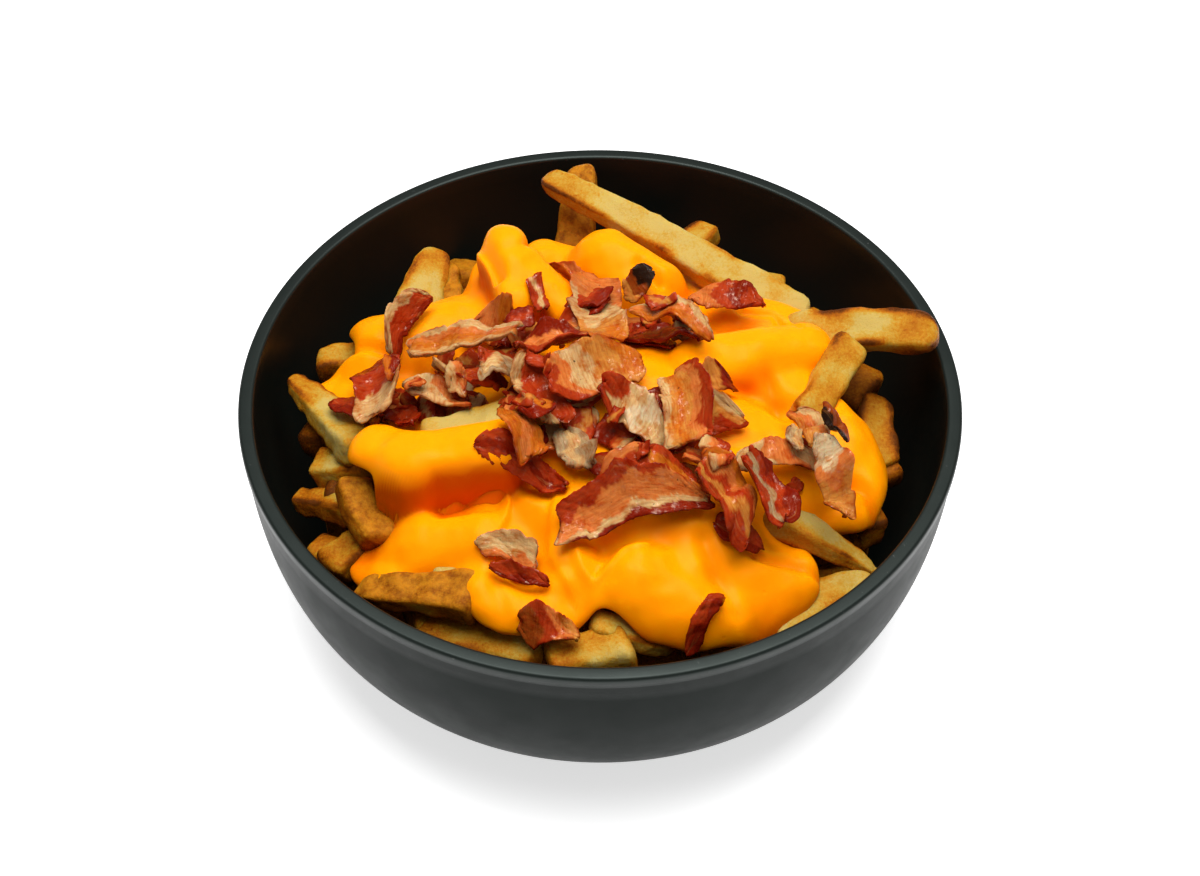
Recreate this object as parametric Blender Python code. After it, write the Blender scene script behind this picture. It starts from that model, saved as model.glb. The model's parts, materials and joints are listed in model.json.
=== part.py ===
"""Cheese fries in a round black bowl, with a poured cheese sauce and crisp bacon pieces.

Runs in Blender 4.5. The model is in metres with +Z up, its origin is the middle of the bowl's
foot, and the front of the dish faces -Y. The sizes and tables below are in millimetres.
"""
import math

import bmesh
import bpy
import numpy as np

MM = 0.001
SEED = 7
GAP = 0.35                      # clearance between pieces that touch in the real dish

# Bowl
BOWL_RADIUS = 90.0
BOWL_HEIGHT = 68.0
LIP_DEPTH = 3.5                 # height of the band round the rim
LIP_STEP = 0.4                  # how far the band stands proud of the wall
LIP_ROUND = 0.8
WALL = 3.8
FLOOR = 4.4                     # height of the floor inside
FOOT_RADIUS = 39.0
FOOT_WIDTH = 5.5
FOOT_RECESS = 1.0
WALL_POWER = 2.7                # the two powers of the wall's rounded curve
WALL_ROOT = 2.5
BOWL_SEGMENTS = 48
WALL_STEPS = 6

# Core of the heap
CORE_TOP = 66.0
CORE_DROP = 29.0                # how much lower its dome is at DOME_REACH
DOME_REACH = 78.0
CORE_RADIUS = 73.0
CORE_SEGMENTS = 28

# Fries that show: start, end, width, thickness, roll in degrees, bow, and how wide the start
# and the end are as shares of the width
FRIES = (
    ((-16, 66, 77), (56, 23, 64), 13.0, 10.5, 12, 2.5, 0.65, 0.85),     # long, at the back
    ((-5, 78, 72), (-10, 50, 48), 11.0, 9.0, 0, 0.0, 0.80, 0.90),       # skin piece behind it
    ((30, 63, 63), (8, 38, 53), 10.5, 9.5, 0, 0.0, 0.80, 0.90),
    ((84, 11, 76), (42, 18, 62), 13.5, 9.0, 0, 2.0, 0.75, 0.90),        # lies over the rim
    ((60, 32, 56), (36, 4, 65), 11.0, 10.0, 0, 0.0, 0.90, 0.90),        # and rests on this one
    ((64, 10, 71), (49, -14, 68), 11.5, 10.0, 20, 0.0, 0.85, 0.90),
    ((72, 10, 52), (71, -11, 46), 13.0, 9.0, 0, 0.0, 0.40, 0.80),
    ((72, 24, 47), (64, 10, 46), 10.5, 10.0, 10, 0.0, 0.90, 0.90),
    ((67, -48, 51), (40, -37, 62), 13.5, 9.5, -15, 1.0, 0.20, 1.00),    # pointed wedge
    ((60, -50, 50), (42, -57, 47), 11.5, 10.0, 0, 0.0, 0.90, 0.90),
    ((71, -23, 42), (60, -30, 44), 10.0, 10.0, 0, 0.0, 0.90, 0.90),
    ((-80, 8, 58), (-57, -19, 63), 12.5, 10.0, 10, -1.0, 0.50, 0.95),   # pale, at the left
    ((-75, 19, 52), (-54, 24, 52), 10.0, 9.0, 0, 0.0, 0.80, 0.90),
    ((-45, 55, 61), (-49, 20, 53), 16.5, 10.0, 15, 0.0, 0.50, 1.00),    # wedge, back left
    ((-41, 51, 58), (-37, 26, 54), 8.0, 9.0, -10, 0.0, 0.60, 0.90),
    ((-77, 1, 44), (-63, -5, 49), 10.5, 9.5, 0, 0.0, 0.90, 0.90),
    ((-71, -15, 50), (-54, -21, 58), 11.0, 10.0, 0, 0.0, 0.90, 0.95),
    ((-76, -21, 46), (-57, -31, 53), 10.5, 9.0, 5, 0.0, 0.60, 0.95),
    ((-61, -28, 61), (-52, -44, 56), 10.0, 9.0, 10, 0.0, 0.85, 0.95),
    ((-70, -33, 42), (-60, -44, 44), 10.0, 10.0, 0, 0.0, 0.90, 0.90),
    ((-66, -43, 45), (-53, -37, 52), 11.0, 9.5, 0, 0.0, 0.90, 0.90),
    ((-57, -55, 53), (-27, -63, 60), 12.5, 9.5, -10, 1.5, 0.50, 0.95),  # skin piece in front
    ((-42, -62, 46), (-12, -72, 50), 11.5, 10.0, 0, 0.0, 0.90, 0.90),
    ((-12, -73, 51), (8, -72, 54), 12.0, 11.0, 0, 0.0, 0.90, 0.85),
    ((-2, -66, 56), (18, -69, 50), 10.0, 8.5, 0, 1.0, 0.75, 0.60),
    ((-42, -25, 71), (-18, -20, 77), 11.5, 9.5, 5, 0.0, 0.90, 0.90),    # shows in the middle
    ((-33, -30, 64), (-18, -4, 68), 11.0, 10.0, 0, 0.0, 0.90, 0.90),    # under that one
    ((-39, -53, 58), (-26, -53, 60), 10.0, 9.0, 0, 0.0, 0.90, 0.90),
)
FRY_CORNER = 0.60               # 1 is a square section, 0.41 an even octagon
FRY_STATIONS = (0.0, 0.06, 0.36, 0.68, 0.94, 1.0)
PLAIN_STATIONS = (0.0, 0.08, 0.92, 1.0)
FRY_END = 0.74                  # size of the very ends
FRY_UNEVEN = 0.06

# Fries lower down, which hold up the ring
LOWER_FRIES = 19
LOWER_REACH = 61.0
LOWER_LENGTH = 44.0
LOWER_WIDTH = 11.0
LOWER_BACK = 3.0                # how much lower they lie at the back

# Sauce: at each bearing in degrees round a point in front of the middle, how far its edge
# reaches and how deep it hangs
SAUCE_MIDDLE = (0.0, -10.0)
SAUCE_EDGE = (
    (0, 69, 7), (7, 55, 5), (18, 63, 5), (42, 62, 5), (62, 61, 5), (80, 72, 6), (94, 66, 6),
    (116, 67, 6), (130, 57, 6), (140, 66, 6), (152, 74, 6), (160, 67, 6), (168, 76, 7),
    (177, 65, 6), (187, 58, 5), (197, 61, 7), (205, 58, 6), (213, 71, 5), (220, 71, 6),
    (231, 60, 5), (247, 64, 7),
    (262, 61, 7), (271, 56, 5), (282, 63, 8), (292, 67, 11), (306, 69, 11), (318, 69, 8),
    (329, 60, 6), (338, 70, 9), (348, 72, 9),
)
SAUCE_TOP = 71.0
SAUCE_DROP = 21.0
SAUCE_THICK = 9.0
SAUCE_NOSE = ((0.95, 0.06), (0.985, 0.28), (1.0, 0.62))     # reach and fall of its blunt edge
SAUCE_BLEND = 1.2               # how softly the ridges run into each other
SAUCE_RINGS = 16
SAUCE_TOP_REACH = 0.89
SAUCE_UNDERSIDE = ((0.95, 96), (0.78, 48), (0.52, 24), (0.26, 12))  # reach and points of a ring

# Coated fries and folds in the sauce: start, end, half width, the fall at that half width, and
# the power that the fall grows with: 2 is round, 4 is a flat top with steep sides
RIDGES = (
    ((-56, 15, 70), (-36, 20, 73), 8.0, 3.2, 2),        # lobe at the left
    ((-68, 4, 60), (-42, -9, 70), 8.0, 3.5, 2),
    ((-30, 37, 72), (-26, 20, 74), 6.0, 3.5, 2),
    ((-25, 31, 88), (-21, 17, 83), 4.2, 3.2, 3),        # coated fry that stands up, with a fan
    ((-20, 26, 86), (-9, 17, 80), 4.6, 3.0, 3),
    ((-15, 46, 70), (-3, 41, 71), 6.0, 3.0, 2),
    ((0, 40, 79), (13, 25, 75), 6.0, 4.0, 2),           # drape over the long fry
    ((2, 40, 80), (15, 32, 77), 5.5, 4.5, 2),
    ((36, 22, 73), (50, 20, 71), 7.0, 3.0, 2),
    ((24, -2, 81), (50, 9, 76), 6.5, 3.0, 3),           # high ridge at the right
    ((39, 2, 77), (54, -5, 70), 7.0, 3.5, 2),
    ((26, -15, 77), (46, -23, 71), 8.0, 3.0, 2),
    ((33, -31, 73), (48, -25, 70), 7.0, 3.0, 2),
    ((58, -14, 68), (64, -27, 63), 7.0, 3.0, 2),        # round lobe at the right
    ((60, -34, 61), (56, -41, 59), 6.5, 3.0, 2),
    ((-10, -11, 78), (14, -7, 78), 10.0, 2.5, 2),       # under the bacon
    ((0, -35, 74), (23, -42, 72), 9.0, 3.0, 2),
    ((-52, -27, 75), (-43, -32, 78), 6.5, 3.0, 2.5),    # coated fry with a steep front
    ((-45, -31, 77), (-24, -31, 82), 6.0, 3.0, 3),
    ((-40, -46, 66), (-28, -47, 68), 7.0, 3.5, 2),
    ((-42, -41, 65), (-48, -52, 59), 6.0, 3.0, 2),
    ((-16, -42, 71), (-28, -58, 63), 6.0, 3.0, 2),
    ((-9, -45, 71), (-9, -58, 65), 6.0, 3.0, 2),
    ((-60, -50, 54), (-46, -56, 58), 6.0, 3.5, 2),
    ((-26, -62, 65), (-9, -69, 62), 7.5, 4.5, 2),       # blob that runs over the front fries
    ((-23, -65, 62), (-19, -71, 58), 6.0, 4.0, 2),
    ((-4, -54, 68), (1, -65, 62), 4.5, 3.0, 2),         # poured ribbon, left leg
    ((1, -65, 62), (14, -57, 69), 4.5, 3.0, 2),         # poured ribbon, right leg
    ((10, -58, 70), (25, -63, 65), 8.0, 3.5, 2),
    ((23, -52, 69), (47, -51, 60), 8.0, 3.5, 2),
    ((37, -60, 58), (47, -57, 55), 7.0, 3.5, 2),
    ((9, -67, 57), (33, -67, 50), 7.0, 3.5, 2),
)

# Bacon from the lowest piece up: start (x, y), end (x, y), width, tilt in degrees, arch, wave,
# and how far it bends sideways
BACON = (
    ((-28, -35), (-8, -40), 6, 10, 1.0, 0.6, 1),
    ((-2, -34), (16, -36), 8, 0, 0.5, 0.8, -1),
    ((27, -49), (38, -52), 6, 20, 0.5, 0.4, 0),
    ((-12, -13), (3, -3), 8, 15, 1.0, 0.8, 1),
    ((-66, -6), (-58, -13), 7, 10, 0.8, 0.4, 0),
    ((-50, -12), (-46, -21), 7, 20, 0.5, 0.5, 1),
    ((-27, -54), (-14, -56), 6, 15, 1.0, 0.6, 1),
    ((-24, -59), (-11, -62), 4, 30, 0.5, 0.5, 0),
    ((-17, -70), (-5, -72), 6, 5, 0.8, 0.4, 0),
    ((20, -75), (28, -66), 3.5, 35, 0.8, 0.4, 0),
    ((-33, 12), (-22, 8), 8, 25, 2.0, 0.8, 2),
    ((-23, 9), (-9, 2), 7, 10, 1.0, 0.8, -1),
    ((7, 8), (25, 2), 9, 5, 1.0, 1.2, 1),
    ((17, 22), (22, 6), 6, 15, 0.8, 0.5, 0),
    ((22, 20), (40, 15), 7, 10, 0.8, 0.8, 2),
    ((-48, -11), (-32, -16), 9, 5, 1.0, 0.8, 1),
    ((-38, -6), (-24, -14), 9, 10, 1.2, 0.6, -1),
    ((-29, -16), (-17, -8), 9, 0, 1.0, 0.6, 1),
    ((-20, -7), (-4, -2), 9, 10, 1.5, 0.8, 2),
    ((-8, -25), (-4, -38), 8, 15, 1.0, 0.6, 0),
    ((0, -43), (11, -39), 10, 10, 1.2, 0.5, 0),
    ((9, -39), (22, -41), 9, 5, 1.2, 0.8, 1),
    ((20, -35), (32, -39), 8, 10, 1.0, 0.6, 1),
    ((32, -37), (51, -31), 6, 5, 1.5, 0.9, 2),
    ((47, -19), (50, -32), 8, 45, 2.0, 0.8, 2),
    ((51, -32), (56, -45), 9, 25, 2.0, 0.7, 1),
    ((52, -27), (57, -33), 5, 30, 0.8, 0.3, 0),
    ((-14, 33), (-4, 27), 7, 20, 1.5, 0.5, 1),
    ((-22, -26), (-16, -38), 11, 0, 1.0, 0.8, 1),
    ((-18, -11), (-10, -26), 10, 5, 1.0, 0.8, -2),
    ((-47, 4), (-21, -3), 10, 10, 2.0, 0.8, 2),
    ((-58, 1), (-54, -19), 12, 15, 2.0, 0.8, 1),
    ((-53, 5), (-43, 21), 9, 55, 2.0, 0.8, 2),
    ((-1, 29), (3, -1), 13, 10, 1.5, 1.2, -2),
    ((6, 18), (13, 26), 6, 30, 1.0, 0.6, 0),
    ((8, 7), (26, -3), 6, 15, 2.5, 0.5, 2),
    ((-12, -20), (9, -9), 12, 5, 2.0, 0.8, 2),
    ((1, -19), (15, -28), 9, 10, 1.5, 0.6, 1),
    ((24, -26), (34, -21), 8, 30, 2.0, 0.6, 2),
    ((23, -15), (32, -10), 6, 30, 1.5, 0.5, 1),
    ((17, -10), (21, -32), 12, 15, 2.5, 1.0, 1),
    ((-10, -52), (25, -46), 10, 10, 2.0, 1.0, 2),
    ((23, -41), (34, -51), 12, 5, 1.5, 0.8, 1),
    ((34, -38), (42, -51), 11, 10, 1.5, 0.8, 1),
)
BACON_THICK = 1.7
BACON_ALONG = 5                 # points along a piece, and across it
BACON_ACROSS = 3
BACON_TAPER = 0.35              # how much narrower a piece may be at its ends
DRAPE_SOFT = 2.0                # how far round it a piece evens out what it lies on
DRAPE_SLOPE = 0.9               # steepest slope that a piece takes on
DRAPE_BEND = 2.0                # how far a piece bends into a dip or over a bump
FOOTING = 4.0                   # how far under the core's dome a gap in the heap counts as
RELIEF_CELL = 0.4               # cell of the height map that the bacon is laid on
RELIEF_HALF = 92.0


def clear_scene():
    """Remove every object that the file opened with."""
    for thing in list(bpy.data.objects):
        bpy.data.objects.remove(thing, do_unlink=True)


def new_material(name, colour, roughness):
    """Make a Principled material of one colour."""
    material = bpy.data.materials.new(name)
    material.use_nodes = True
    shader = material.node_tree.nodes["Principled BSDF"]
    shader.inputs["Base Color"].default_value = (*colour, 1.0)
    shader.inputs["Roughness"].default_value = roughness
    material.diffuse_color = (*colour, 1.0)
    return material


def new_object(name, bm, material):
    """Turn a bmesh in millimetres into an object with its faces pointing out."""
    bmesh.ops.scale(bm, vec=(MM, MM, MM), verts=bm.verts)
    bmesh.ops.recalc_face_normals(bm, faces=bm.faces)
    mesh = bpy.data.meshes.new(name)
    bm.to_mesh(mesh)
    bm.free()
    mesh.materials.append(material)
    thing = bpy.data.objects.new(name, mesh)
    bpy.context.scene.collection.objects.link(thing)
    return thing


def solid_from(points, faces):
    """Make a bmesh from a list of points and a list of faces."""
    bm = bmesh.new()
    corners = [bm.verts.new(tuple(float(c) for c in p)) for p in points]
    for face in faces:
        bm.faces.new([corners[i] for i in face])
    return bm


def turned(profile, segments):
    """Spin a profile of (radius, height) round the Z axis into a closed solid."""
    bm = bmesh.new()
    points = [bm.verts.new((r, 0.0, z)) for r, z in profile]
    edges = [bm.edges.new(pair) for pair in zip(points, points[1:])]
    bmesh.ops.spin(bm, geom=points + edges, cent=(0, 0, 0), axis=(0, 0, 1),
                   angle=2.0 * math.pi, steps=segments, use_merge=True)
    bmesh.ops.remove_doubles(bm, verts=bm.verts, dist=0.01)
    return bm


def shade_round(thing, angle=35.0):
    """Shade an object smooth, with its sharp edges kept."""
    thing.data.shade_smooth()
    thing.data.set_sharp_from_angle(angle=math.radians(angle))


def wall_curve(low, high, inset, steps):
    """Points of the bowl's wall curve from its top to its bottom, moved in by inset."""
    wide = BOWL_RADIUS - LIP_STEP - inset
    narrow = FOOT_RADIUS + 1.0 - inset
    turns = [0.5 * math.pi * k / steps for k in range(steps + 1)]
    return [(narrow + (wide - narrow) * abs(math.cos(a)) ** (2.0 / WALL_ROOT),
             high - (high - low) * math.sin(a) ** (2.0 / WALL_POWER)) for a in turns]


def inner_radius(z):
    """Radius of the bowl's inside at height z, along the same curve."""
    inset = WALL - LIP_STEP
    wide = BOWL_RADIUS - LIP_STEP - inset
    narrow = FOOT_RADIUS + 1.0 - inset
    t = np.clip((BOWL_HEIGHT - z) / (BOWL_HEIGHT - FLOOR), 0.0, 1.0)
    return narrow + (wide - narrow) * (1.0 - t ** WALL_POWER) ** (1.0 / WALL_ROOT)


def make_bowl(material):
    """Turn the bowl: recessed foot, rounded wall, raised lip and plain inside."""
    under_lip = BOWL_HEIGHT - LIP_DEPTH
    recess_edge = FOOT_RADIUS - FOOT_WIDTH
    outline = [(0.0, FOOT_RECESS), (recess_edge - FOOT_RECESS, FOOT_RECESS),
               (recess_edge, 0.0), (FOOT_RADIUS, 0.0)]
    outline += list(reversed(wall_curve(0.0, under_lip, 0.0, WALL_STEPS)))[1:]
    outline += [(BOWL_RADIUS, under_lip + LIP_STEP),
                (BOWL_RADIUS, BOWL_HEIGHT - LIP_ROUND),
                (BOWL_RADIUS - LIP_ROUND, BOWL_HEIGHT),
                (BOWL_RADIUS - WALL + LIP_ROUND, BOWL_HEIGHT)]
    inside = wall_curve(FLOOR, BOWL_HEIGHT, WALL - LIP_STEP, WALL_STEPS)
    outline.append((inside[0][0], BOWL_HEIGHT - LIP_ROUND))
    outline += inside[1:]
    outline.append((0.0, FLOOR))
    bowl = new_object("bowl", turned(outline, BOWL_SEGMENTS), material)
    shade_round(bowl)
    return bowl


def core_height(x, y):
    """Height of the core's dome over a point."""
    return CORE_TOP - CORE_DROP * (x * x + y * y) / DOME_REACH ** 2


def make_core(material):
    """Turn the core of the heap: it follows the inside of the bowl, under a shallow dome."""
    gap = 2.5 * GAP
    low = FLOOR + gap
    shoulder = core_height(CORE_RADIUS, 0.0)
    outline = [(0.0, low)]
    for k in range(6):
        z = low + (shoulder - low) * (k / 5.0) ** 2
        outline.append((min(float(inner_radius(z - gap)) - gap, CORE_RADIUS), z))
    outline += [(r, core_height(r, 0.0)) for r in (60.0, 40.0, 20.0)]
    outline.append((0.0, CORE_TOP))
    return new_object("fries", turned(outline, CORE_SEGMENTS), material)


def stations_of(fry):
    """Where along a fry its rings are: a straight one needs few."""
    return FRY_STATIONS if fry[5] or fry[6] < 0.7 else PLAIN_STATIONS


def fry_points(fry, draw, grow=0.0):
    """Points of one fry, ring by ring: a section with cut corners along a bowed line."""
    start, end, width, thick, roll, bow, first, last = fry
    stations = stations_of(fry)
    start = np.array(start, float)
    end = np.array(end, float)
    along = (end - start) / np.linalg.norm(end - start)
    side = np.cross(along, (0.0, 0.0, 1.0))
    side /= np.linalg.norm(side)
    upward = np.cross(side, along)
    turn = math.radians(roll)
    across = math.cos(turn) * side + math.sin(turn) * upward
    over = math.cos(turn) * upward - math.sin(turn) * side
    corners = ((1, -FRY_CORNER), (1, FRY_CORNER), (FRY_CORNER, 1), (-FRY_CORNER, 1),
               (-1, FRY_CORNER), (-1, -FRY_CORNER), (-FRY_CORNER, -1), (FRY_CORNER, -1))
    points = []
    for k, s in enumerate(stations):
        share = first + (last - first) * s
        share *= 1.0 + draw.uniform(-FRY_UNEVEN, FRY_UNEVEN)
        if k in (0, len(stations) - 1):
            share *= FRY_END
        middle = start + (end - start) * s + upward * bow * 4.0 * s * (1.0 - s)
        middle += along * grow * (2.0 * s - 1.0)
        lean = draw.uniform(-1.0, 1.0, 8) * FRY_UNEVEN
        for (a, b), off in zip(corners, lean):
            points.append(middle + across * a * (0.5 * width * share * (1.0 + off) + grow)
                          + over * b * (0.5 * thick * share * (1.0 + off) + grow))
    return np.array(points)


def fry_faces(rings):
    """Faces that join the rings of a fry and close its two ends."""
    faces = [tuple(range(8)), tuple(range(8 * rings - 1, 8 * rings - 9, -1))]
    for k in range(rings - 1):
        for i in range(8):
            j = (i + 1) % 8
            faces.append((8 * k + i, 8 * k + j, 8 * k + 8 + j, 8 * k + 8 + i))
    return faces


def shift_into_bowl(points):
    """How far a fry has to move towards the middle, or up, to stay clear of the bowl."""
    moved = points.copy()
    for _ in range(60):
        reach = np.hypot(moved[:, 0], moved[:, 1])
        low = moved[:, 2] < BOWL_HEIGHT + GAP
        room = np.where(low, inner_radius(moved[:, 2] - GAP) - 2.0 * GAP, BOWL_RADIUS - 1.0)
        excess = reach - room
        worst = int(np.argmax(excess))
        if excess[worst] <= 0.0:
            break
        if low[worst] and moved[worst, 2] > BOWL_HEIGHT - 6.0:
            moved[:, 2] += 0.5
        else:
            inward = -moved[worst, :2] / reach[worst]
            moved[:, :2] += inward * min(excess[worst] + 0.1, 1.5)
    return moved[0] - points[0]


def all_fries():
    """The fries that show, and the seeded ring of fries lower down that they rest on."""
    draw = np.random.default_rng(SEED)
    fries = list(FRIES)
    for k in range(LOWER_FRIES):
        bearing = 2.0 * math.pi * (k + draw.uniform(-0.25, 0.25)) / LOWER_FRIES
        heading = bearing + 0.5 * math.pi + draw.uniform(-0.9, 0.9)
        reach = LOWER_REACH + draw.uniform(-4.0, 4.0)
        height = core_height(reach, 0.0) + draw.uniform(-3.0, 2.0)
        height -= LOWER_BACK * max(0.0, math.sin(bearing))
        half = 0.5 * LOWER_LENGTH * draw.uniform(0.7, 1.15)
        rise = half * draw.uniform(-0.15, 0.15)
        middle = np.array((reach * math.cos(bearing), reach * math.sin(bearing), height))
        reach_out = np.array((half * math.cos(heading), half * math.sin(heading), rise))
        fries.append((middle - reach_out, middle + reach_out, LOWER_WIDTH * draw.uniform(0.9, 1.1),
                      LOWER_WIDTH * draw.uniform(0.8, 1.0), draw.uniform(-30.0, 30.0), 0.0,
                      draw.uniform(0.75, 0.95), draw.uniform(0.75, 0.95)))
    return fries


def join(target, others, operation):
    """Apply one Boolean on a collection to the target, and remove the collection's objects."""
    group = bpy.data.collections.new("group")
    bpy.context.scene.collection.children.link(group)
    for thing in others:
        group.objects.link(thing)
    modifier = target.modifiers.new("join", "BOOLEAN")
    modifier.operation = operation
    modifier.operand_type = "COLLECTION"
    modifier.collection = group
    modifier.solver = "EXACT"
    graph = bpy.context.evaluated_depsgraph_get()
    mesh = bpy.data.meshes.new_from_object(target.evaluated_get(graph))
    target.modifiers.clear()
    target.data = mesh
    for thing in others:
        bpy.data.objects.remove(thing, do_unlink=True)
    bpy.data.collections.remove(group)


def keep_one_body(target):
    """Drop loose scraps and fill sealed hollows: only the largest closed surface stays."""
    bm = bmesh.new()
    bm.from_mesh(target.data)
    bmesh.ops.triangulate(bm, faces=bm.faces)
    left = set(bm.faces)
    bodies = []
    while left:
        body = {left.pop()}
        front = list(body)
        while front:
            face = front.pop()
            for edge in face.edges:
                for other in edge.link_faces:
                    if other in left:
                        left.remove(other)
                        body.add(other)
                        front.append(other)
        volume = sum(f.verts[0].co.dot(f.verts[1].co.cross(f.verts[2].co)) for f in body) / 6.0
        bodies.append((volume, body))
    bodies.sort(key=lambda entry: entry[0])
    scraps = [face for volume, body in bodies[:-1] for face in body]
    bmesh.ops.delete(bm, geom=scraps, context="FACES")
    bm.to_mesh(target.data)
    bm.free()


def sauce_edge(bearing, column):
    """Smooth curve through one column of the edge table, at bearings in radians."""
    turn = 2.0 * math.pi
    knots = np.radians([row[0] for row in SAUCE_EDGE])
    value = np.array([row[column] for row in SAUCE_EDGE], float)
    at = np.concatenate((knots[-2:] - turn, knots, knots[:2] + turn))
    value = np.concatenate((value[-2:], value, value[:2]))
    slope = np.gradient(value, at) * 0.6
    k = np.clip(np.searchsorted(at, bearing) - 1, 0, len(at) - 2)
    step = at[k + 1] - at[k]
    u = (bearing - at[k]) / step
    return ((2 * u ** 3 - 3 * u ** 2 + 1) * value[k] + (u ** 3 - 2 * u ** 2 + u) * step * slope[k]
            + (3 * u ** 2 - 2 * u ** 3) * value[k + 1] + (u ** 3 - u ** 2) * step * slope[k + 1])


def sauce_height(x, y):
    """Top of the sauce: a soft maximum of a dome and one rounded ridge for each coated fry."""
    total = np.exp((SAUCE_TOP - SAUCE_DROP * (x * x + y * y) / DOME_REACH ** 2) / SAUCE_BLEND)
    for start, end, half, fall, power in RIDGES:
        run = np.array(end[:2], float) - start[:2]
        t = np.clip(((x - start[0]) * run[0] + (y - start[1]) * run[1]) / run.dot(run), 0.0, 1.0)
        away = np.hypot(x - start[0] - t * run[0], y - start[1] - t * run[1])
        ridge = start[2] + (end[2] - start[2]) * t - fall * (away / half) ** power
        total = total + np.exp(ridge / SAUCE_BLEND)
    return SAUCE_BLEND * np.log(total)


def sauce_ring(share, count):
    """Plan of one ring of the sauce, and how deep the edge hangs at each of its points."""
    bearing = 2.0 * math.pi * np.arange(count) / count
    reach = share * sauce_edge(bearing, 1)
    return (SAUCE_MIDDLE[0] + reach * np.cos(bearing), SAUCE_MIDDLE[1] + reach * np.sin(bearing),
            sauce_edge(bearing, 2))


def band(first, count, second, other):
    """Triangles between two rings that may have different numbers of points."""
    faces = []
    i = j = 0
    while i < count or j < other:
        if j == other or (i < count and (i + 1) * other <= (j + 1) * count):
            faces.append((first + i, second + j % other, first + (i + 1) % count))
            i += 1
        else:
            faces.append((first + i % count, second + j % other, second + (j + 1) % other))
            j += 1
    return faces


def make_sauce(material):
    """Build the sauce blanket from rings: top, blunt edge and underside."""
    rings = []
    for k in range(1, SAUCE_RINGS + 1):
        x, y, deep = sauce_ring(SAUCE_TOP_REACH * k / SAUCE_RINGS, 6 * k)
        rings.append(np.stack((x, y, sauce_height(x, y)), axis=1))
    for share, fall in SAUCE_NOSE:
        x, y, deep = sauce_ring(share, 6 * SAUCE_RINGS)
        rings.append(np.stack((x, y, sauce_height(x, y) - fall * deep), axis=1))
    for share, count in SAUCE_UNDERSIDE:
        x, y, deep = sauce_ring(share, count)
        thick = SAUCE_THICK + (deep - SAUCE_THICK) * share ** 6
        low = np.maximum(sauce_height(x, y) - thick, core_height(x, y) + 4.0 * GAP)
        rings.append(np.stack((x, y, low), axis=1))
    middle = (*SAUCE_MIDDLE, float(sauce_height(*SAUCE_MIDDLE)))
    under = (*SAUCE_MIDDLE, middle[2] - SAUCE_THICK)
    starts = [sum(len(ring) for ring in rings[:k]) for k in range(len(rings))]
    points = np.concatenate(rings + [np.array([middle, under])])
    faces = []
    for k in range(len(rings) - 1):
        faces += band(starts[k], len(rings[k]), starts[k + 1], len(rings[k + 1]))
    for hub, ring in ((len(points) - 2, 0), (len(points) - 1, len(rings) - 1)):
        count = len(rings[ring])
        faces += [(hub, starts[ring] + i, starts[ring] + (i + 1) % count) for i in range(count)]
    return new_object("cheese_sauce", solid_from(points, faces), material)


def spread(mesh_points, corners):
    """Points spread densely over triangles, a cell of the height map apart."""
    a, b, c = (mesh_points[corners[:, k]] for k in range(3))
    longest = np.sqrt(np.maximum(((b - a) ** 2).sum(1),
                                 np.maximum(((c - a) ** 2).sum(1), ((c - b) ** 2).sum(1))))
    steps = np.maximum(1, np.ceil(longest / RELIEF_CELL).astype(int))
    found = []
    for n in np.unique(steps):
        chosen = steps == n
        i, j = np.meshgrid(np.arange(n + 1), np.arange(n + 1), indexing="ij")
        inside = i + j <= n
        u = (i[inside] / n)[:, None, None]
        v = (j[inside] / n)[:, None, None]
        found.append(((1 - u - v) * a[chosen] + u * b[chosen] + v * c[chosen]).reshape(-1, 3))
    return np.concatenate(found)


def relief_cell(points):
    """Row and column of each point in the height map."""
    size = int(2 * RELIEF_HALF / RELIEF_CELL)
    column = np.clip(((points[:, 0] + RELIEF_HALF) / RELIEF_CELL).astype(int), 0, size - 1)
    row = np.clip(((points[:, 1] + RELIEF_HALF) / RELIEF_CELL).astype(int), 0, size - 1)
    return row, column


def add_to_relief(relief, points):
    """Raise the height map to the given points, in their own cell and the eight round it."""
    row, column = relief_cell(points)
    for dr in (-1, 0, 1):
        for dc in (-1, 0, 1):
            at = (np.clip(row + dr, 0, len(relief) - 1), np.clip(column + dc, 0, len(relief) - 1))
            np.maximum.at(relief, at, points[:, 2])


def relief_of(things):
    """Height map of the objects' upper sides."""
    size = int(2 * RELIEF_HALF / RELIEF_CELL)
    across = (np.arange(size) + 0.5) * RELIEF_CELL - RELIEF_HALF
    relief = core_height(across[None, :], across[:, None]) - FOOTING
    for thing in things:
        mesh = thing.data
        mesh.calc_loop_triangles()
        points = np.array([v.co[:] for v in mesh.vertices]) / MM
        corners = np.array([t.vertices[:] for t in mesh.loop_triangles])
        add_to_relief(relief, spread(points, corners))
    return relief


def support_under(relief, x, y):
    """Height of what lies under the points, evened out over DRAPE_SOFT round each."""
    total = np.zeros_like(x)
    weight = 0.0
    for dx in np.linspace(-1.0, 1.0, 5) * DRAPE_SOFT:
        for dy in np.linspace(-1.0, 1.0, 5) * DRAPE_SOFT:
            share = math.exp(-(dx * dx + dy * dy) / DRAPE_SOFT ** 2)
            spots = np.stack((x.ravel() + dx, y.ravel() + dy), axis=1)
            total += share * relief[relief_cell(spots)].reshape(x.shape)
            weight += share
    return total / weight


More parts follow.
